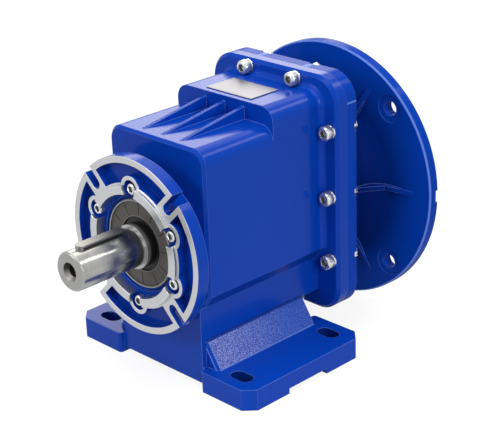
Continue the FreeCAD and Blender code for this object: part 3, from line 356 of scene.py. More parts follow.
def enamel(name, masks, gloss, coat):
    """Gloss paint. Masks: bare, grain, painted shade, weaker painted edge highlight, rim (painted
    highlight).
    """
    finish = Finish(name)
    vector = finish.place()
    x, y, z = finish.parts(vector)
    radius = x.hypotenuse(z - AXIS_Z)
    share = {kind: mask(x, y, z, radius) for kind, mask in masks.items()}
    bare = share.get("bare", 0.0)
    # Painted shade: faces that look down, and the places of the shade mask, are darkened.
    shelter = (finish.downward() * UNDERSIDE_SHADE_SHARE).either(share.get("shelter", 0.0))
    # Painted highlight: a pale line along the edges, weaker where the dim mask is set.
    line = finish.edge(EDGE_WIDTH) * EDGE_HIGHLIGHT_SHARE * (1.0 - share.get("faint", 0.0) * HIGHLIGHT_DIM_SHARE)
    cloud = finish.noise(vector, CLOUD_SCALE, SOFT_DETAIL)
    paint = finish.blend(shelter, finish.blend(cloud, DEEP_BLUE, BLUE), PAINTED_SHADE_BLUE)
    relief = finish.noise(vector, PEEL_SCALE, SOFT_DETAIL) * PEEL_HEIGHT
    rough = cloud.span(*PAINT_ROUGH) + shelter * SHADE_ROUGH
    if "grain" in share:
        sand, grain_with_highlight = sandy(finish, vector, y)
        paint = finish.blend(share["grain"], paint, grain_with_highlight)
        relief = relief + sand * share["grain"]
        rough = rough + share["grain"] * GRAIN_ROUGH
    # The edge line and the rim mask paint highlights in a pale blue.
    paint = finish.blend(line.either(share.get("rim", 0.0)), paint, EDGE_HIGHLIGHT_BLUE)
    rings = finish.lines(radius * RINGS_PER_METRE, y * RINGS_ALONG)
    metal = finish.blend(rings, DULL_ALUMINIUM, BARE_ALUMINIUM)
    look = {
        "Base Color": finish.blend(bare, paint, metal),
        "Metallic": bare,
        "Roughness": rough * (1.0 - bare) + rings.span(*METAL_ROUGH) * bare,
        "Coat Weight": (1.0 - shelter.either(bare)) * coat,
        "Coat Roughness": COAT_ROUGH,
        "Specular IOR Level": gloss,
    }
    relief = relief * (1.0 - bare) + rings * bare * RING_HEIGHT
    return finish.surface(look, relief, depth=0.25 * MM, rounding=0.9 * MM)


print("roughness of paint:", PAINT_ROUGH, "of bare metal:", METAL_ROUGH)

# %% [markdown]
# The gear case is the casting that shows most. Its ring and its soles are bare, and the walls of
# the slots in its foot are painted darker as shade. Each mask is a rule about the place on the
# case, which needs no texture and stays sharp at the machined faces.

# %% Bare and thinly sprayed places of the gear case
HAIR = 0.15 * MM
SPIGOT_BORE = 46.9 * MM
FOOT_TOP = 20 * MM
SLOT_X, SLOT_HALF_LENGTH = 87.5 * MM, 12.2 * MM
SLOT_Y, SLOT_HALF_WIDTH = 55 * MM, 7.4 * MM
SLOT_LIP = 0.4 * MM
SLOT_SHARE = 0.8
POCKET_RADIUS, POCKET_DEPTH = 79 * MM, 20 * MM


def case_bare(x, y, z, radius):
    """Turned ring face and spigot, the spigot's bore, and the milled soles of the foot."""
    bore = (radius < SPIGOT_BORE) * (y < CAP_BACK)
    return (y < RING_FACE + HAIR).either(bore).either(z < HAIR)


def case_shelter(x, y, z, radius):
    """The walls of the slots in the foot, painted darker as shade."""
    across = abs(abs(x) - SLOT_X) < SLOT_HALF_LENGTH
    along = abs(abs(y) - SLOT_Y) < SLOT_HALF_WIDTH
    return across * along * (z < FOOT_TOP - SLOT_LIP) * SLOT_SHARE


def case_faint(x, y, z, radius):
    """The rim of the split and the pockets of the ring, where the painted edge highlight is weaker.
    """
    pockets = (radius < POCKET_RADIUS) * (y < RING_FACE + POCKET_DEPTH)
    return pockets.either(y > SPLIT_FRONT)


print("foot top:", FOOT_TOP, "slots at", SLOT_X, SLOT_Y)

# %% [markdown]
# The gussets of the foot are grainy between their bevelled end and the split. The crease below
# them and the two edges of the bevel catch the light, so a second rule draws these as thin lines.

# %% Gussets, and the case's finish
GUSSET_INNER, GUSSET_OUTER = 52.2 * MM, 66.8 * MM
GUSSET_TOP = 43 * MM
GUSSET_BEVEL = 2.8 * MM
GRAIN_ABOVE_FOOT = 0.2 * MM
GRAIN_BEFORE_SPLIT = 4 * MM
CREASE_INNER, CREASE_OUTER = 64 * MM, 67.3 * MM
CREASE_BELOW, CREASE_ABOVE = 0.1 * MM, 0.8 * MM
CREASE_SHORT = 0.6 * MM
BEVEL_LINES = ((0.1 * MM, 0.7 * MM), (2.6 * MM, 3.5 * MM))
CREASE_HIGHLIGHT_SHARE = 0.6


def case_grain(x, y, z, radius):
    """The sloping faces of the gussets."""
    along = y.between(GUSSET_FRONT + GUSSET_BEVEL, SPLIT_FRONT - GRAIN_BEFORE_SPLIT)
    upright = z.between(FOOT_TOP + GRAIN_ABOVE_FOOT, GUSSET_TOP)
    return abs(x).between(GUSSET_INNER, GUSSET_OUTER) * upright * along


def case_crease_highlight(x, y, z, radius):
    """The crease at the foot of each gusset and the two edges of its bevelled end, painted as
    highlight lines.
    """
    along = y - GUSSET_FRONT
    crease = abs(x).between(CREASE_INNER, CREASE_OUTER)
    crease = crease * z.between(FOOT_TOP - CREASE_BELOW, FOOT_TOP + CREASE_ABOVE)
    crease = crease * along.between(GUSSET_BEVEL, GUSSET_LENGTH - CREASE_SHORT)
    front, back = (along.between(*line) for line in BEVEL_LINES)
    edges = front.either(back) * abs(x).between(GUSSET_INNER, CREASE_OUTER)
    edges = edges * z.between(FOOT_TOP + CREASE_BELOW, GUSSET_TOP)
    return crease.either(edges) * CREASE_HIGHLIGHT_SHARE


CASE_MASKS = {"bare": case_bare, "grain": case_grain, "shelter": case_shelter,
              "faint": case_faint, "rim": case_crease_highlight}
dress(enamel("case_enamel", CASE_MASKS, gloss=0.06, coat=0.07), "gear_case")

# %% [markdown]
# The motor flange has a bell behind the split, and painted shade makes its blue deeper towards
# the axis. A painted highlight runs round its chamfered edge. The small cap inside the ring has no
# bare place and needs no masks.

# %% Enamel on the motor flange and the cap
PILOT_RADIUS, PILOT_DEPTH = 90.2 * MM, 5.8 * MM
BELL_RADIUS, BELL_REACH = 56 * MM, 116 * MM
BELL_FRONT = FLANGE_LOW.y + 27 * MM
BELL_BACK = FLANGE_HIGH.y - 11 * MM
SEATS_INNER, SEATS_OUTER = 91 * MM, 122 * MM
CHAMFER_INNER, CHAMFER_OUTER = 123.6 * MM, 124.9 * MM
CHAMFER_BACK = FLANGE_HIGH.y - 9 * MM
CHAMFER_HIGHLIGHT_SHARE = 0.75


def flange_bare(x, y, z, radius):
    """Motor face and pilot recess, with the bores inside it."""
    pilot = (y > FLANGE_HIGH.y - PILOT_DEPTH) * (radius < PILOT_RADIUS)
    return (y > FLANGE_HIGH.y - HAIR).either(pilot)


def flange_shelter(x, y, z, radius):
    """The room round the bell, painted darker as shade."""
    return (1.0 - radius.ease(BELL_RADIUS, BELL_REACH)) * y.between(BELL_FRONT, BELL_BACK)


def flange_faint(x, y, z, radius):
    """The rim of the split, and the shallow seats round the motor's bolt holes, where the painted
    edge highlight is weaker.
    """
    return (y < SPLIT_BACK).either(radius.between(SEATS_INNER, SEATS_OUTER))


def flange_chamfer_highlight(x, y, z, radius):
    """The chamfer round the flange, with a painted highlight."""
    return radius.between(CHAMFER_INNER, CHAMFER_OUTER) * (y < CHAMFER_BACK) * CHAMFER_HIGHLIGHT_SHARE


FLANGE_MASKS = {"bare": flange_bare, "shelter": flange_shelter, "faint": flange_faint,
                "rim": flange_chamfer_highlight}
dress(enamel("flange_enamel", FLANGE_MASKS, gloss=0.01, coat=0.05), "motor_flange")
dress(enamel("cap_enamel", {}, gloss=0.02, coat=0.02), "output_bearing_cap")

# %% [markdown]
# ## Steel that was ground, hobbed or drawn
# Ground shafts carry hair-fine lines around their axis, so the pattern follows the radius and the
# station along the axis. Gear teeth are darker, and bearings are brighter. Each is a metal with
# its own tones and roughness.

# %% Turned steel
LINES_OUTWARD, LINES_ALONG = 1400.0, 2600.0
LINE_HEIGHT = 0.08
SMEAR_SCALE = 60.0
SMEAR_CONTRAST = 1.7


def turned_steel(name, tones, rough, axis_height, end=None):
    """Steel with lines around an axis along Y, and a rule for the end of a shaft that shows."""
    finish = Finish(name)
    vector = finish.place()
    x, y, z = finish.parts(vector)
    up = z - axis_height
    radius = x.hypotenuse(up)
    lines = finish.lines(radius * LINES_OUTWARD, y * LINES_ALONG)
    smear = finish.noise(vector, SMEAR_SCALE)
    look = {
        "Base Color": finish.blend(lines * smear * SMEAR_CONTRAST, *tones),
        "Roughness": smear.span(*rough),
        "Metallic": 1.0,
    }
    relief = lines * LINE_HEIGHT
    if end is not None:
        relief = relief + end(finish, look, x.turn(up), y, radius)
    return finish.surface(look, relief, depth=0.12 * MM, rounding=0.4 * MM)


print("turned steel has about", LINES_ALONG * MM, "lines to the millimetre")

# %% [markdown]
# The output shaft ends in a centre hole with a thread. The hole is oily brown; its thread and the
# parts of its wall that face down are painted near black as shade, and the end face is painted
# darker as shade. Its collar is a dull turned band that gets darker next to the seal. The thread
# is a wave that climbs as it turns.

# %% The end of the output shaft
OILY_BROWN = (0.075, 0.062, 0.038, 1.0)
THREAD_RADIUS, THREAD_PITCH, THREAD_HEIGHT = 5.4 * MM, 1.75 * MM, 2.0
MOUTH_RADIUS, MOUTH_SOFT = 8.6 * MM, 0.5 * MM
HOLE_SHADE_FACING = (-0.7, 0.2)
END_FACE = SHAFT_LOW.y + 0.3 * MM
COLLAR_RADIUS = 18.2 * MM
COLLAR_FRONT = SHAFT_LOW.y + 68 * MM
COLLAR_DARK_START, COLLAR_DARK_FULL = COLLAR_FRONT + 1.5 * MM, COLLAR_FRONT + 5 * MM
HOLE_ROUGH, COLLAR_ROUGH = 0.25, 0.04
COLLAR_TARNISH = 0.15


def shaft_end(finish, look, turn, y, radius):
    """Change the look at the end face, the centre hole and the collar; return the thread."""
    thread = radius < THREAD_RADIUS
    hole = 1.0 - radius.ease(MOUTH_RADIUS - MOUTH_SOFT, MOUTH_RADIUS)
    deep = thread.either(hole * finish.downward(*HOLE_SHADE_FACING))
    collar = (radius > COLLAR_RADIUS) * (y < CAP_BACK)
    darkened = collar * y.ease(COLLAR_DARK_START, COLLAR_DARK_FULL)
    # Painted shade on the end face, the thread and the down-facing wall of the hole; the collar
    # gets darker towards the seal.
    layers = (((y < END_FACE) * 0.8, grey(0.3)), (hole * 0.5, OILY_BROWN),
              (deep * 0.92, grey(0.012)), (collar, grey(0.38)), (darkened * 0.95, grey(0.03)))
    for share, tone in layers:
        look["Base Color"] = finish.blend(share, look["Base Color"], tone)
    look["Roughness"] = look["Roughness"] + hole * HOLE_ROUGH + collar * COLLAR_ROUGH
    look["Metallic"] = 1.0 - collar * COLLAR_TARNISH
    wave = (y * (2.0 * math.pi / THREAD_PITCH) + turn).sine()
    return wave * thread * THREAD_HEIGHT


print("collar from", round(COLLAR_FRONT, 4), "to", round(CAP_BACK, 4))

# %% [markdown]
# The recipe serves for every turned piece. The lines run round the axis of the shaft that carries
# the piece, so pieces on the countershaft get the height of that shaft. A table gives each steel
# its tones, its roughness and its pieces.

# %% Which piece is which steel
COUNTER_LOW, COUNTER_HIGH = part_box("countershaft")
COUNTER_Z = (COUNTER_LOW.z + COUNTER_HIGH.z) / 2
SHAFT_TONES = (grey(0.28, -0.02), grey(0.52, -0.02))
COUNTER_TONES = (grey(0.42), grey(0.58))
HOBBED_TONES, HOBBED_ROUGH = (grey(0.30), grey(0.46)), (0.24, 0.42)
BEARING_TONES, BEARING_ROUGH = (grey(0.55), grey(0.70)), (0.12, 0.24)
SPRING_TONES = (grey(0.03), grey(0.06))
RINGS = [name for name in NODES if "bearing" in name and name.endswith("ring")]
COUNTER_RINGS = [name for name in RINGS if "countershaft" in name]
OTHER_RINGS = [name for name in RINGS if "countershaft" not in name]
STEELS = (
    ("ground_shaft_steel", SHAFT_TONES, (0.15, 0.26), AXIS_Z, shaft_end,
     ("output_shaft", "input_shaft")),
    ("countershaft_steel", COUNTER_TONES, (0.2, 0.36), COUNTER_Z, None,
     ("countershaft", "countershaft_spacer")),
    ("hobbed_gear_steel", HOBBED_TONES, HOBBED_ROUGH, AXIS_Z, None,
     ("output_gear", "output_gear_collar", "input_outer_spacer", "input_inner_spacer")),
    ("hobbed_wheel_steel", HOBBED_TONES, HOBBED_ROUGH, COUNTER_Z, None, ("countershaft_gear",)),
    ("bearing_steel", BEARING_TONES, BEARING_ROUGH, AXIS_Z, None, OTHER_RINGS),
    ("counter_bearing_steel", BEARING_TONES, BEARING_ROUGH, COUNTER_Z, None, COUNTER_RINGS),
    ("black_spring_steel", SPRING_TONES, (0.35, 0.5), AXIS_Z, None,
     ("output_gear_circlip", "input_shaft_circlip", "input_housing_circlip")),
)
for *recipe, pieces in STEELS:
    dress(turned_steel(*recipe), *pieces)

# %% [markdown]
# Keys are cut from drawn bar, with lines along their length instead of around it. The sides that
# lie in the keyway are painted dark as shade.

# %% Keys and dowels
KEY_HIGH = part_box("output_key")[1]
KEY_SIDE = KEY_HIGH.x - 0.25 * MM
KEYWAY_TOP = KEY_HIGH.z - 1.6 * MM
BAR_ACROSS, BAR_ALONG = 3000.0, 60.0
BAR_HEIGHT = 0.05
KEY_SIDE_SHADE = 0.9


def drawn_steel(name):
    """Bar steel with fine lines along Y, and sides painted dark as shade."""
    finish = Finish(name)
    x, y, z = finish.parts(finish.place())
    lines = finish.lines(x * BAR_ACROSS, y * BAR_ALONG, z * BAR_ACROSS)
    # Painted shade on the key's sides, low down in the keyway.
    darkened = (abs(x) > KEY_SIDE) * (z < KEYWAY_TOP) * KEY_SIDE_SHADE
    tone = finish.blend(lines, grey(0.16), grey(0.27))
    look = {
        "Base Color": finish.blend(darkened, tone, grey(0.02)),
        "Roughness": lines.span(0.3, 0.45),
        "Metallic": 1.0,
    }
    return finish.surface(look, lines * BAR_HEIGHT, depth=0.1 * MM, rounding=0.5 * MM)


KEYS = ("output_key", "output_gear_key", "countershaft_key", "dowel_pins")
dress(drawn_steel("key_steel"), *KEYS)

# %% [markdown]
# ## Moulded rubber seals
# The seal round the shaft is dark grey rubber in a thin metal rim. Its dished face has moulded
# lines that run out like spokes, so the pattern follows the angle round the axis. The lines and the
# throat next to the shaft are painted near black as shade, and a thin ring at the throat is painted
# as a highlight.

# %% Seals
SPOKES = 12
SPOKE_EDGE = (0.03, 0.14)
RUBBER = (0.058, 0.055, 0.053, 1.0)
DUSTY_RUBBER = (0.096, 0.092, 0.088, 1.0)
DUST_SCALE = 700.0
DUST_HEIGHT = 0.08
SEAL_RIM = 1.4 * MM
THROAT_HIGHLIGHT_WIDTH = 0.7 * MM
SPOKE_INNER, SPOKE_OUTER = 2.2 * MM, 0.6 * MM
OUTPUT_THROAT, INPUT_THROAT = 24.6 * MM, 27.1 * MM


def seal_rubber(name, node, throat):
    """Rubber by radius: a throat painted black as shade, a ring painted as a highlight, a spoked
    face with grooves painted dark as shade, and a metal rim.
    """
    low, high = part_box(node)
    rim = (high.x - low.x) / 2 - SEAL_RIM
    finish = Finish(name)
    vector = finish.place()
    x, _, z = finish.parts(vector)
    up = z - AXIS_Z
    radius = x.hypotenuse(up)
    wave = abs((x.turn(up) * (SPOKES / 2.0)).sine())
    face = radius.between(throat + SPOKE_INNER, rim - SPOKE_OUTER)
    groove = (1.0 - wave.ease(*SPOKE_EDGE)) * face
    dust = finish.noise(vector, DUST_SCALE)
    # The metal rim is bright in its own colour; the thin ring at the throat is a painted highlight.
    bright = ((radius > rim) * 0.8).either(radius.between(throat, throat + THROAT_HIGHLIGHT_WIDTH) * 0.4)
    tone = finish.blend(dust, RUBBER, DUSTY_RUBBER)
    # Painted shade: the spoke grooves and the throat are darkened in colour.
    layers = ((groove * 0.85, grey(0.008)), ((radius < throat) * 0.95, grey(0.006)),
              (bright, grey(0.42)))
    for share, layer in layers:
        tone = finish.blend(share, tone, layer)
    look = {"Base Color": tone, "Roughness": dust.span(0.42, 0.54), "Specular IOR Level": 0.3}
    relief = dust * DUST_HEIGHT - groove
    return finish.surface(look, relief, depth=0.4 * MM, rounding=0.3 * MM)


output_rubber = seal_rubber("output_seal_rubber", "output_seal", OUTPUT_THROAT)
dress(output_rubber, "output_seal")
dress(seal_rubber("input_seal_rubber", "input_seal", INPUT_THROAT), "input_seal")

# %% [markdown]
# The output seal shows in the picture, so its moulded lines are cut as real grooves. Its outline
# is a list of (depth, radius, groove) rows, which follow the solid seal with softened edges, and
# only the rows on the dished face carry the grooves.

# %% Outline of the output seal
SEAL_LOW, SEAL_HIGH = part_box("output_seal")
SEAL_LIP = 20.05 * MM
SEAL_SOFT = 0.3 * MM


def seal_rows(outside, width, throat):
    """Rows from the front of the rim over the face to the lip, and back behind the hub."""
    rim, hub = outside - 1.5 * MM, throat + 1.5 * MM
    dish, floor = 1.5 * MM, 3 * MM
    crown, back = dish - SEAL_SOFT, width - dish
    front = [(SEAL_SOFT, outside), (0, outside - SEAL_SOFT), (0, rim + SEAL_SOFT),
             (SEAL_SOFT, rim), (dish, rim), (dish, rim - 0.5 * MM)]
    grooved = [(dish, rim - 0.9 * MM), (dish, throat + 2.4 * MM)]
    inside = [(dish, throat + 2 * MM), (dish, throat + 0.9 * MM), (crown, throat + 0.7 * MM),
              (crown, throat + 0.2 * MM), (dish, throat), (floor, throat), (floor, SEAL_LIP)]
    behind = [(back, SEAL_LIP), (back, hub), (floor, hub), (floor, rim), (width, rim),
              (width, outside)]
    sections = ((front, False), (grooved, True), (inside + behind, False))
    return [(depth, reach, cut) for rows, cut in sections for depth, reach in rows]


SEAL_ROWS = seal_rows((SEAL_HIGH.x - SEAL_LOW.x) / 2, SEAL_HIGH.y - SEAL_LOW.y, OUTPUT_THROAT)
print("seal outline:", len(SEAL_ROWS), "rows")

# %% [markdown]
# The rows are skinned round the axis. A groove lowers one step in every sector, so it is as narrow
# as one step. Smooth shading with sharp edges kept is needed for all the small pieces, so it is a
# helper of its own.

# %% The grooved output seal
SEAL_STEPS = 720
SEAL_GROOVE = 0.4 * MM
SEAL_SHARP = 28.0


def soften(mesh, sharp):
    """Shade smooth, but keep edges that bend by more than an angle in degrees."""
    for face in mesh.polygons:
        face.use_smooth = True
    mesh.set_sharp_from_angle(angle=math.radians(sharp))


def grooved_seal(name, node):
    """Skin the rows of the seal, and let the piece take over from the plain solid."""
    work = bmesh.new()
    skin = []
    for depth, reach, grooved in SEAL_ROWS:
        ring = []
        for step in range(SEAL_STEPS):
            turn = 2 * math.pi * step / SEAL_STEPS
            sunk = SEAL_GROOVE if grooved and step % (SEAL_STEPS // SPOKES) == 0 else 0.0
            spot = (reach * math.sin(turn), SEAL_LOW.y + depth + sunk,
                    AXIS_Z + reach * math.cos(turn))
            ring.append(work.verts.new(spot))
        skin.append(ring)
    for here, there in zip(skin, skin[1:] + skin[:1]):
        for step in range(SEAL_STEPS):
            beside = (step + 1) % SEAL_STEPS
            work.faces.new((here[step], here[beside], there[beside], there[step]))
    bmesh.ops.recalc_face_normals(work, faces=work.faces)
    mesh = bpy.data.meshes.new(name)
    work.to_mesh(mesh)
    work.free()
    soften(mesh, SEAL_SHARP)
    mesh.materials.append(output_rubber)
    piece = bpy.data.objects.new(name, mesh)
    SCENE.collection.objects.link(piece)
    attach(piece, "housing")
    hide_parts(node)
    print(name, len(mesh.polygons), "faces")


grooved_seal("grooved_output_seal", "output_seal")

# %% [markdown]
# ## The bare nameplate
# A thin aluminium plate lies on the step. It stays blank, with fine brushing along its length and
# a thin pressed line inside its edge, as such plates have before they are marked. The pressed line
# is painted darker as shade.

# %% Nameplate
PLATE_LOW, PLATE_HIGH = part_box("nameplate")
PLATE_MIDDLE = (PLATE_LOW + PLATE_HIGH) / 2
PLATE_HALF = (PLATE_HIGH - PLATE_LOW) / 2
BRUSH_ALONG, BRUSH_ACROSS = 90.0, 4200.0
BRUSH_HEIGHT = 0.1
PRESSED_LINE = (1.6 * MM, 2.2 * MM)
PRESSED_SHADE = 0.6


def plate_aluminium():
    """Brushed sheet with a line pressed in at a fixed distance from its edge, painted darker as
    shade.
    """
    finish = Finish("plate_aluminium")
    x, y, _ = finish.parts(finish.place())
    brushing = finish.lines(x * BRUSH_ALONG, y * BRUSH_ACROSS)
    beyond_x = abs(x - PLATE_MIDDLE.x) - PLATE_HALF.x
    beyond_y = abs(y - PLATE_MIDDLE.y) - PLATE_HALF.y
    line = (0.0 - beyond_x.either(beyond_y)).between(*PRESSED_LINE)
    tone = finish.blend(brushing, grey(0.12, 0.25), grey(0.20, 0.2))
    look = {
        "Base Color": finish.blend(line * PRESSED_SHADE, tone, grey(0.12)),
        "Roughness": brushing.span(0.3, 0.45),
        "Metallic": 0.9,
    }
    relief = brushing * BRUSH_HEIGHT - line
    return finish.surface(look, relief, depth=0.1 * MM, rounding=0.25 * MM)


dress(plate_aluminium(), "nameplate")

# %% [markdown]
# ## Bright plated hardware
# Zinc plate is bright with a slight cool tint and small tonal clouds. The sockets of the screws
# are darker, because little light gets into them.

# %% Zinc
ZINC_CLOUDS = 260.0
ZINC_HEIGHT = 0.1
HOLLOW_DARK = 0.5


def zinc_plate(name):
    """Plated steel; points of a mesh that are marked hollow are darker."""
    finish = Finish(name)
    cloud = finish.noise(finish.place(), ZINC_CLOUDS)
    hollow = finish.node("ShaderNodeAttribute", {"attribute_name": "hollow"}, out="Fac")
    tone = finish.blend(cloud, grey(0.56, 0.02), grey(0.70, 0.01))
    look = {
        "Base Color": finish.blend(hollow * HOLLOW_DARK, tone, grey(0.05)),
        "Roughness": cloud.span(0.12, 0.22),
        "Metallic": 0.84,
    }
    return finish.surface(look, cloud * ZINC_HEIGHT, depth=0.08 * MM, rounding=0.25 * MM)


HARDWARE = ("split_screws", "cap_screws", "split_nuts", "split_lock_washers")
zinc = zinc_plate("bright_zinc")
dress(zinc, *HARDWARE)

# %% [markdown]
# ## Small hardware, turned ring by ring
# The solids keep screws plain. Real socket screws have a knurled head, a hexagon that runs down to
# a drill point, and a thread. Each master is a stack of rings round one axis, which suits anything
# turned or hexagonal: a ring is a circle, a hexagon, or whichever of the two is smaller at that
# angle.

# %% Rings
AROUND = 72
HEX_SIDES = 6


def circle(radius):
    return lambda step: radius


def hexagon(flats):
    """Radius of a hexagon across its flats, at one step round the axis."""
    side = AROUND // HEX_SIDES

    def reach(step):
        angle = (step % side - side / 2) * 2 * math.pi / AROUND
        return flats / 2 / math.cos(angle)
    return reach


def smaller(first, second):
    return lambda step: min(first(step), second(step))


def knurl(radius, depth):
    """Fine teeth: every other point is pressed in."""
    return lambda step: radius - depth * (step % 2)


print("rings have", AROUND, "points, hexagons", HEX_SIDES, "sides")

# %% [markdown]
# Skinning joins each ring to the next. A closed stack, such as a nut, also joins its last ring to
# its first, and an open one, such as a screw, gets a point at each end.

# %% Skinning
DRILL_POINT = 1.2 * MM


def plain_mesh(name, points, faces):
    mesh = bpy.data.meshes.new(name)
    mesh.from_pydata(points, [], faces)
    mesh.validate()
    return mesh


def turned_mesh(name, rings, closed=False):
    """Skin a stack of (station, radius rule) rings along Y."""
    points = []
    for station, reach in rings:
        for step in range(AROUND):
            angle = 2 * math.pi * step / AROUND
            radius = reach(step)
            points.append((radius * math.cos(angle), station, radius * math.sin(angle)))
    faces = []
    for row in range(len(rings) if closed else len(rings) - 1):
        here = row * AROUND
        there = (row + 1) % len(rings) * AROUND
        for step in range(AROUND):
            beside = (step + 1) % AROUND
            faces.append((here + step, here + beside, there + beside, there + step))
    if not closed:
        points.append((0.0, rings[0][0] + DRILL_POINT, 0.0))
        points.append((0.0, rings[-1][0], 0.0))
        tail = (len(rings) - 1) * AROUND
        for step in range(AROUND):
            beside = (step + 1) % AROUND
            faces.append((beside, step, len(points) - 2))
            faces.append((tail + step, tail + beside, len(points) - 1))
    return plain_mesh(name, points, faces)


print("a drill point is", DRILL_POINT, "deep")

# %% [markdown]
# A socket screw is turned from bar, its head is knurled for the fingers, and a hexagon is pressed
# into it. The thread is a row of crests, because a true helix would not show at this size.

# %% Socket screws


def socket_screw(name, head, height, flats, depth, shank, length, pitch, plain):
    """Knurled head with a hexagon socket that opens at station 0, a plain shank and a thread."""
    edge = 0.06 * head
    outside, stem = head / 2, shank / 2
    socket = hexagon(flats)
    grip = knurl(outside, edge / 2.5)
    rings = [(depth, socket), (edge, socket), (0.0, hexagon(flats * 1.1)),
             (0.0, circle(outside - 2 * edge)), (edge / 2, circle(outside - edge)),
             (1.5 * edge, circle(outside - edge / 3)), (1.6 * edge, grip), (height - edge, grip),
             (height - 0.8 * edge, circle(outside - edge / 3)),
             (height, circle(outside - edge / 2)), (height, circle(stem + edge)),
             (height + edge, circle(stem)), (height + plain, circle(stem))]
    for crest in range(int((length - height - plain - pitch) / pitch)):
        start = height + plain + crest * pitch
        rings.append((start + pitch / 2, circle(stem - 0.6 * pitch)))
        rings.append((start + pitch, circle(stem - 0.04 * pitch)))
    rings.append((length, circle(stem - 0.9 * pitch)))
    mesh = turned_mesh(name, rings)
    hollow = mesh.attributes.new("hollow", "FLOAT", "POINT")
    for point in list(range(2 * AROUND)) + [len(rings) * AROUND]:
        hollow.data[point].value = 1.0
    return mesh


SPLIT_SCREW = socket_screw("split_screw", head=13 * MM, height=8 * MM, flats=6 * MM,
                           depth=4 * MM, shank=8 * MM, length=40.4 * MM, pitch=1.25 * MM,
                           plain=14 * MM)
CAP_SCREW = socket_screw("cap_screw", head=10 * MM, height=6 * MM, flats=5 * MM, depth=3 * MM,
                         shank=6 * MM, length=23.9 * MM, pitch=1.0 * MM, plain=6 * MM)
print("screw masters:", len(SPLIT_SCREW.vertices), "and", len(CAP_SCREW.vertices), "points")

# %% [markdown]
# A nut is a slice of hexagon bar whose corners are turned off at both faces. A ring that takes the
# smaller of a circle and a hexagon draws the curved edge which that leaves.

# %% Nuts


def chamfered_nut(name, flats, height, bore):
    """Hexagon nut with both faces chamfered."""
    edge = 0.13 * height
    body = hexagon(flats)
    face = smaller(body, circle(flats / 2 * 0.97))
    hole, mouth = circle(bore / 2), circle(bore / 2 + edge)
    rings = [(edge, hole), (0.0, mouth), (0.0, face), (edge, body), (height - edge, body),
             (height, face), (height, mouth), (height - edge, hole)]
    return turned_mesh(name, rings, closed=True)


SPLIT_NUT = chamfered_nut("split_nut", flats=13 * MM, height=6.5 * MM, bore=8.02 * MM)
print("nut master:", len(SPLIT_NUT.vertices), "points")

# %% [markdown]
# A spring lock washer is one turn of square wire. Its ends stand apart and one is higher, so the
# section is swept round the axis with a rise, and each end gets a cap.

# %% Spring lock washers


def split_washer(name, bore, outside, thickness, opening):
    """Spring lock washer: a square wire in one turn whose two ends stand apart."""
    wire = 0.8 * thickness
    rise = thickness - wire
    bevel = 0.12 * thickness
    low, high = bore / 2, outside / 2
    section = [(low, bevel), (low + bevel, 0.0), (high - bevel, 0.0), (high, bevel),
               (high, wire - bevel), (high - bevel, wire), (low + bevel, wire),
               (low, wire - bevel)]
    span = 2 * math.pi - opening
    points = []
    for step in range(AROUND + 1):
        share = step / AROUND
        angle = opening / 2 + share * span
        for reach, up in section:
            points.append((reach * math.cos(angle), up + rise * share, reach * math.sin(angle)))
    sides = len(section)
    faces = []
    for step in range(AROUND):
        here, there = step * sides, (step + 1) * sides
        for corner in range(sides):
            beside = (corner + 1) % sides
            faces.append((here + corner, there + corner, there + beside, here + beside))
    faces.append(tuple(range(sides)))
    faces.append(tuple(AROUND * sides + corner for corner in reversed(range(sides))))
    return plain_mesh(name, points, faces)


SPLIT_WASHER = split_washer("split_washer", bore=8.3 * MM, outside=12.8 * MM, thickness=2 * MM,
                            opening=math.radians(12))
print("washer master:", len(SPLIT_WASHER.vertices), "points")

# %% [markdown]
# ## Where the hardware sits
# The places are the middles of the plain solids, so the detailed hardware lands where the solids
# hold it. A solid that was exported with others in one node is found again by walking along its
# edges.

# %% Places of the plain hardware
SAME_POINT = 0.002 * MM


def islands(node):
    """Low and high corners of each separate piece in a CAD node, in the part's frame."""
    item = NODES[node]
    work = bmesh.new()
    work.from_mesh(item.data)
    bmesh.ops.transform(work, matrix=item.matrix_world, verts=work.verts)
    bmesh.ops.remove_doubles(work, verts=work.verts, dist=SAME_POINT)
    found = []
    seen = set()
    for vertex in work.verts:
        if vertex in seen:
            continue
        heap = [vertex]
        seen.add(vertex)
        group = []
        while heap:
            here = heap.pop()
            group.append(here.co.copy())
            for edge in here.link_edges:
                other = edge.other_vert(here)
                if other not in seen:
                    seen.add(other)
                    heap.append(other)
        low = Vector([min(point[axis] for point in group) for axis in range(3)])
        high = Vector([max(point[axis] for point in group) for axis in range(3)])
        found.append((low, high))
    work.free()
    return found


PLACES = {node: islands(node) for node in HARDWARE}
print("places:", {node: len(found) for node, found in PLACES.items()})

# %% [markdown]
# ## One tree sets every screw in place
# A node tree puts a master on each place, turned by a fixed random angle, as screws end up after
# tightening. Copying by hand would do for ten screws, but the tree is one rule for four kinds of
# hardware.

# %% The repeating tree


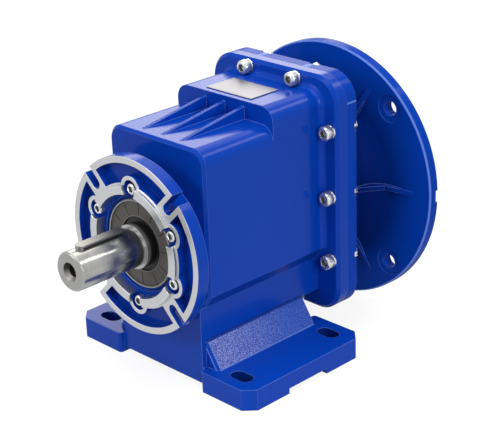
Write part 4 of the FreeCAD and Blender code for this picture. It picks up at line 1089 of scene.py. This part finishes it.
def repeat_tree():
    """Geometry nodes: put a piece on every spot, turned at random about Y, as real geometry."""
    tree = bpy.data.node_groups.new("repeat_on_spots", "GeometryNodeTree")
    names = {}
    for name, kind in (("Spots", "NodeSocketGeometry"), ("Piece", "NodeSocketObject"),
                       ("Finish", "NodeSocketMaterial"), ("Seed", "NodeSocketInt")):
        socket = tree.interface.new_socket(name, in_out="INPUT", socket_type=kind)
        names[name] = socket.identifier
    tree.interface.new_socket("Pieces", in_out="OUTPUT", socket_type="NodeSocketGeometry")
    inlet = tree.nodes.new("NodeGroupInput")
    outlet = tree.nodes.new("NodeGroupOutput")
    piece = tree.nodes.new("GeometryNodeObjectInfo")
    angle = tree.nodes.new("FunctionNodeRandomValue")
    angle.data_type = "FLOAT"
    angle.inputs[3].default_value = 2 * math.pi
    turn = tree.nodes.new("ShaderNodeCombineXYZ")
    copies = tree.nodes.new("GeometryNodeInstanceOnPoints")
    solid = tree.nodes.new("GeometryNodeRealizeInstances")
    paint = tree.nodes.new("GeometryNodeSetMaterial")
    link = tree.links.new
    link(inlet.outputs["Piece"], piece.inputs["Object"])
    link(inlet.outputs["Seed"], angle.inputs["Seed"])
    link(angle.outputs[1], turn.inputs["Y"])
    link(inlet.outputs["Spots"], copies.inputs["Points"])
    link(piece.outputs["Geometry"], copies.inputs["Instance"])
    link(turn.outputs[0], copies.inputs["Rotation"])
    link(copies.outputs[0], solid.inputs[0])
    link(solid.outputs[0], paint.inputs["Geometry"])
    link(inlet.outputs["Finish"], paint.inputs["Material"])
    link(paint.outputs[0], outlet.inputs[0])
    return tree, names


REPEAT, REPEAT_INPUTS = repeat_tree()
print(REPEAT.name, "has", len(REPEAT.nodes), "nodes")

# %% [markdown]
# The tree runs on a holder with one point per place. Its result is kept as a plain mesh that takes
# over from the solid, and the master and the holder are removed.

# %% Screws, nuts and lock washers
HARDWARE_SHARP = 35.0


def set_hardware(name, node, master, seed):
    """Replace a node of plain pieces by detailed copies, whose station 0 lies at the low end."""
    spots = []
    for low, high in PLACES[node]:
        middle = (low + high) / 2
        spots.append((middle.x, low.y, middle.z))
    soften(master, HARDWARE_SHARP)
    pattern = bpy.data.objects.new(name + "_pattern", master)
    places = bpy.data.meshes.new(name + "_places")
    places.from_pydata(spots, [], [])
    holder = bpy.data.objects.new(name + "_holder", places)
    for item in (pattern, holder):
        SCENE.collection.objects.link(item)
    modifier = holder.modifiers.new("repeat", "NODES")
    modifier.node_group = REPEAT
    for key, value in (("Piece", pattern), ("Finish", zinc), ("Seed", seed)):
        modifier[REPEAT_INPUTS[key]] = value
    graph = bpy.context.evaluated_depsgraph_get()
    mesh = bpy.data.meshes.new_from_object(holder.evaluated_get(graph))
    mesh.name = name
    for item in (pattern, holder):
        bpy.data.objects.remove(item)
    piece = bpy.data.objects.new(name, mesh)
    SCENE.collection.objects.link(piece)
    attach(piece, "housing")
    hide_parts(node)
    print(name, len(spots), "places,", len(mesh.polygons), "faces")


set_hardware("split_socket_screws", "split_screws", SPLIT_SCREW, seed=3)
set_hardware("cap_socket_screws", "cap_screws", CAP_SCREW, seed=5)
set_hardware("split_hexagon_nuts", "split_nuts", SPLIT_NUT, seed=8)
set_hardware("split_spring_washers", "split_lock_washers", SPLIT_WASHER, seed=4)

# %% [markdown]
# ## A pale studio
# The camera sees a white room and a white floor, with the object's soft shadow on the floor.
# Mirrored rays and rays through glass see the same, so that gloss paint and steel show that
# background too. The light that falls on the object itself stays at a plain level.

# %% World
ROOM_LIGHT = 0.06


def background_rays(tree):
    """1 for the rays that show the background, and 0 for the rays that light the object."""
    rays = tree.node("ShaderNodeLightPath", out="Is Camera Ray")
    for kind in ("Is Glossy Ray", "Is Transmission Ray"):
        rays = rays.either(tree.node("ShaderNodeLightPath", out=kind))
    return rays


def studio_world():
    """White where it is seen, and dim as a light."""
    world = Tree(bpy.data.worlds.new("studio_world"))
    strength = background_rays(world).span(ROOM_LIGHT, 1.0)
    light = world.node("ShaderNodeBackground", {}, {"Color": grey(1.0), "Strength": strength})
    world.node("ShaderNodeOutputWorld", {}, {"Surface": light})
    SCENE.world = world.owner


studio_world()
print("room light:", ROOM_LIGHT)

# %% [markdown]
# The floor mixes a matt sheet, which takes the shadow, with a white glow for the rays that show
# the background. The glow grows outwards, so that the floor runs into the white room without a
# line. For light that bounces back to the object, only the table around it is pale.

# %% Floor
FLOOR_REACH = 3.0
FLOOR_BELOW = 0.2 * MM
TABLE_X, TABLE_Y = -0.06, -0.14
TABLE_EDGE = (0.36, 0.62)
GLOW = 1.06
GLOW_EDGE = (0.5, 1.5)
GLOW_SHARE = (0.82, 1.0)


def floor_finish():
    """Matt for the shadow, and white where the background shows."""
    finish = Finish("pale_floor")
    x, y, _ = finish.parts(finish.place())
    away = (x - TABLE_X).hypotenuse(y - TABLE_Y).ease(*TABLE_EDGE)
    rays = background_rays(finish)
    colour = finish.blend(rays, finish.blend(away, grey(0.78), grey(0.12)), grey(0.9))
    matt = finish.node("ShaderNodeBsdfDiffuse", {}, {"Color": colour})
    bright = finish.node("ShaderNodeEmission", {}, {"Color": grey(1.0), "Strength": GLOW})
    share = rays * x.hypotenuse(y).ease(*GLOW_EDGE).span(*GLOW_SHARE)
    mixed = finish.node("ShaderNodeMixShader", {}, {0: share, 1: matt, 2: bright})
    finish.node("ShaderNodeOutputMaterial", {}, {"Surface": mixed})
    return finish.owner


def studio_floor():
    """A square sheet, a hair below the soles of the foot."""
    mesh = bpy.data.meshes.new("studio_floor")
    signs = ((-1, -1), (1, -1), (1, 1), (-1, 1))
    corners = [(FLOOR_REACH * across, FLOOR_REACH * along, -FLOOR_BELOW) for across, along in signs]
    mesh.from_pydata(corners, [], [(0, 1, 2, 3)])
    mesh.materials.append(floor_finish())
    floor = bpy.data.objects.new("studio_floor", mesh)
    SCENE.collection.objects.link(floor)


studio_floor()
print("floor:", 2 * FLOOR_REACH, "m wide")

# %% [markdown]
# Gloss paint shows the lamps, so they are large soft sheets. The strongest hangs overhead. Two
# warm ones behind on the left give the sheen along the top, and a narrow one behind on the right
# draws the bright line along the rounded edges. The last two, in front and at the side, keep the
# near faces from going black.

# %% Lamps
TARGET = Vector((0.0, 0.0, 0.13))
WHITE = (1.0, 1.0, 1.0)
WARM = (1.0, 0.96, 0.84)
LAMPS = (
    ("top_softbox", (0.2, -0.3, 1.7), (1.4, 1.4), 21.0, WHITE),
    ("back_softbox", (-1.2, 1.15, 0.85), (1.3, 0.5), 9.0, WARM),
    ("band_softbox", (-0.4, 0.85, 1.25), (0.9, 0.5), 3.0, WARM),
    ("edge_softbox", (0.64, 1.0, 1.2), (0.7, 0.25), 5.0, WHITE),
    ("front_fill", (-0.7, -1.5, 0.9), (0.9, 0.9), 13.0, WHITE),
    ("side_fill", (1.6, -0.5, 0.8), (0.8, 0.8), 18.0, WHITE),
)


def softbox(name, spot, size, power, tint):
    """A rectangular lamp that faces the target."""
    lamp = bpy.data.lights.new(name, "AREA")
    lamp.color = tint
    lamp.shape = "RECTANGLE"
    lamp.size, lamp.size_y = size
    lamp.energy = power
    holder = bpy.data.objects.new(name, lamp)
    holder.location = spot
    holder.rotation_euler = (TARGET - Vector(spot)).to_track_quat("-Z", "Y").to_euler()
    SCENE.collection.objects.link(holder)


for row in LAMPS:
    softbox(*row)
print("lamps:", ", ".join(row[0] for row in LAMPS))

# %% [markdown]
# ## The camera
# The camera stands where the photographer stood, found by matching points of the object to the
# picture. It has a long lens and a slight roll, and a small shift because the picture was cropped
# off centre.

# %% Camera
IMAGE_WIDTH = 500.0
IMAGE_HEIGHT = 440.0
FOCAL_PIXELS = 1436.64
PRINCIPAL_X = 238.54
PRINCIPAL_Y = 242.56
SENSOR_WIDTH = 36.0
CAMERA_SPOT = Vector((0.8749, -0.8053, 0.6213))
AZIMUTH = math.radians(46.31)
ELEVATION = math.radians(23.61)
ROLL = math.radians(-2.19)


def photo_camera():
    """A camera from the pose and the lens that fit the picture."""
    data = bpy.data.cameras.new("photo_camera")
    data.sensor_width = SENSOR_WIDTH
    data.lens = FOCAL_PIXELS * SENSOR_WIDTH / IMAGE_WIDTH
    data.shift_x = (IMAGE_WIDTH / 2 - PRINCIPAL_X) / IMAGE_WIDTH
    data.shift_y = (PRINCIPAL_Y - IMAGE_HEIGHT / 2) / IMAGE_WIDTH
    level = math.cos(ELEVATION)
    back = Vector((math.sin(AZIMUTH) * level, -math.cos(AZIMUTH) * level, math.sin(ELEVATION)))
    right = Vector((math.cos(AZIMUTH), math.sin(AZIMUTH), 0.0))
    up = back.cross(right)
    tilted_right = right * math.cos(ROLL) + up * math.sin(ROLL)
    tilted_up = up * math.cos(ROLL) - right * math.sin(ROLL)
    turn = Matrix((tilted_right, tilted_up, back)).transposed()
    camera = bpy.data.objects.new("photo_camera", data)
    camera.matrix_world = Matrix.Translation(CAMERA_SPOT) @ turn.to_4x4()
    SCENE.collection.objects.link(camera)
    SCENE.camera = camera


photo_camera()
bpy.context.scene.view_settings.view_transform = "Standard"
print("lens:", round(SCENE.camera.data.lens, 1), "mm")

# %% [markdown]
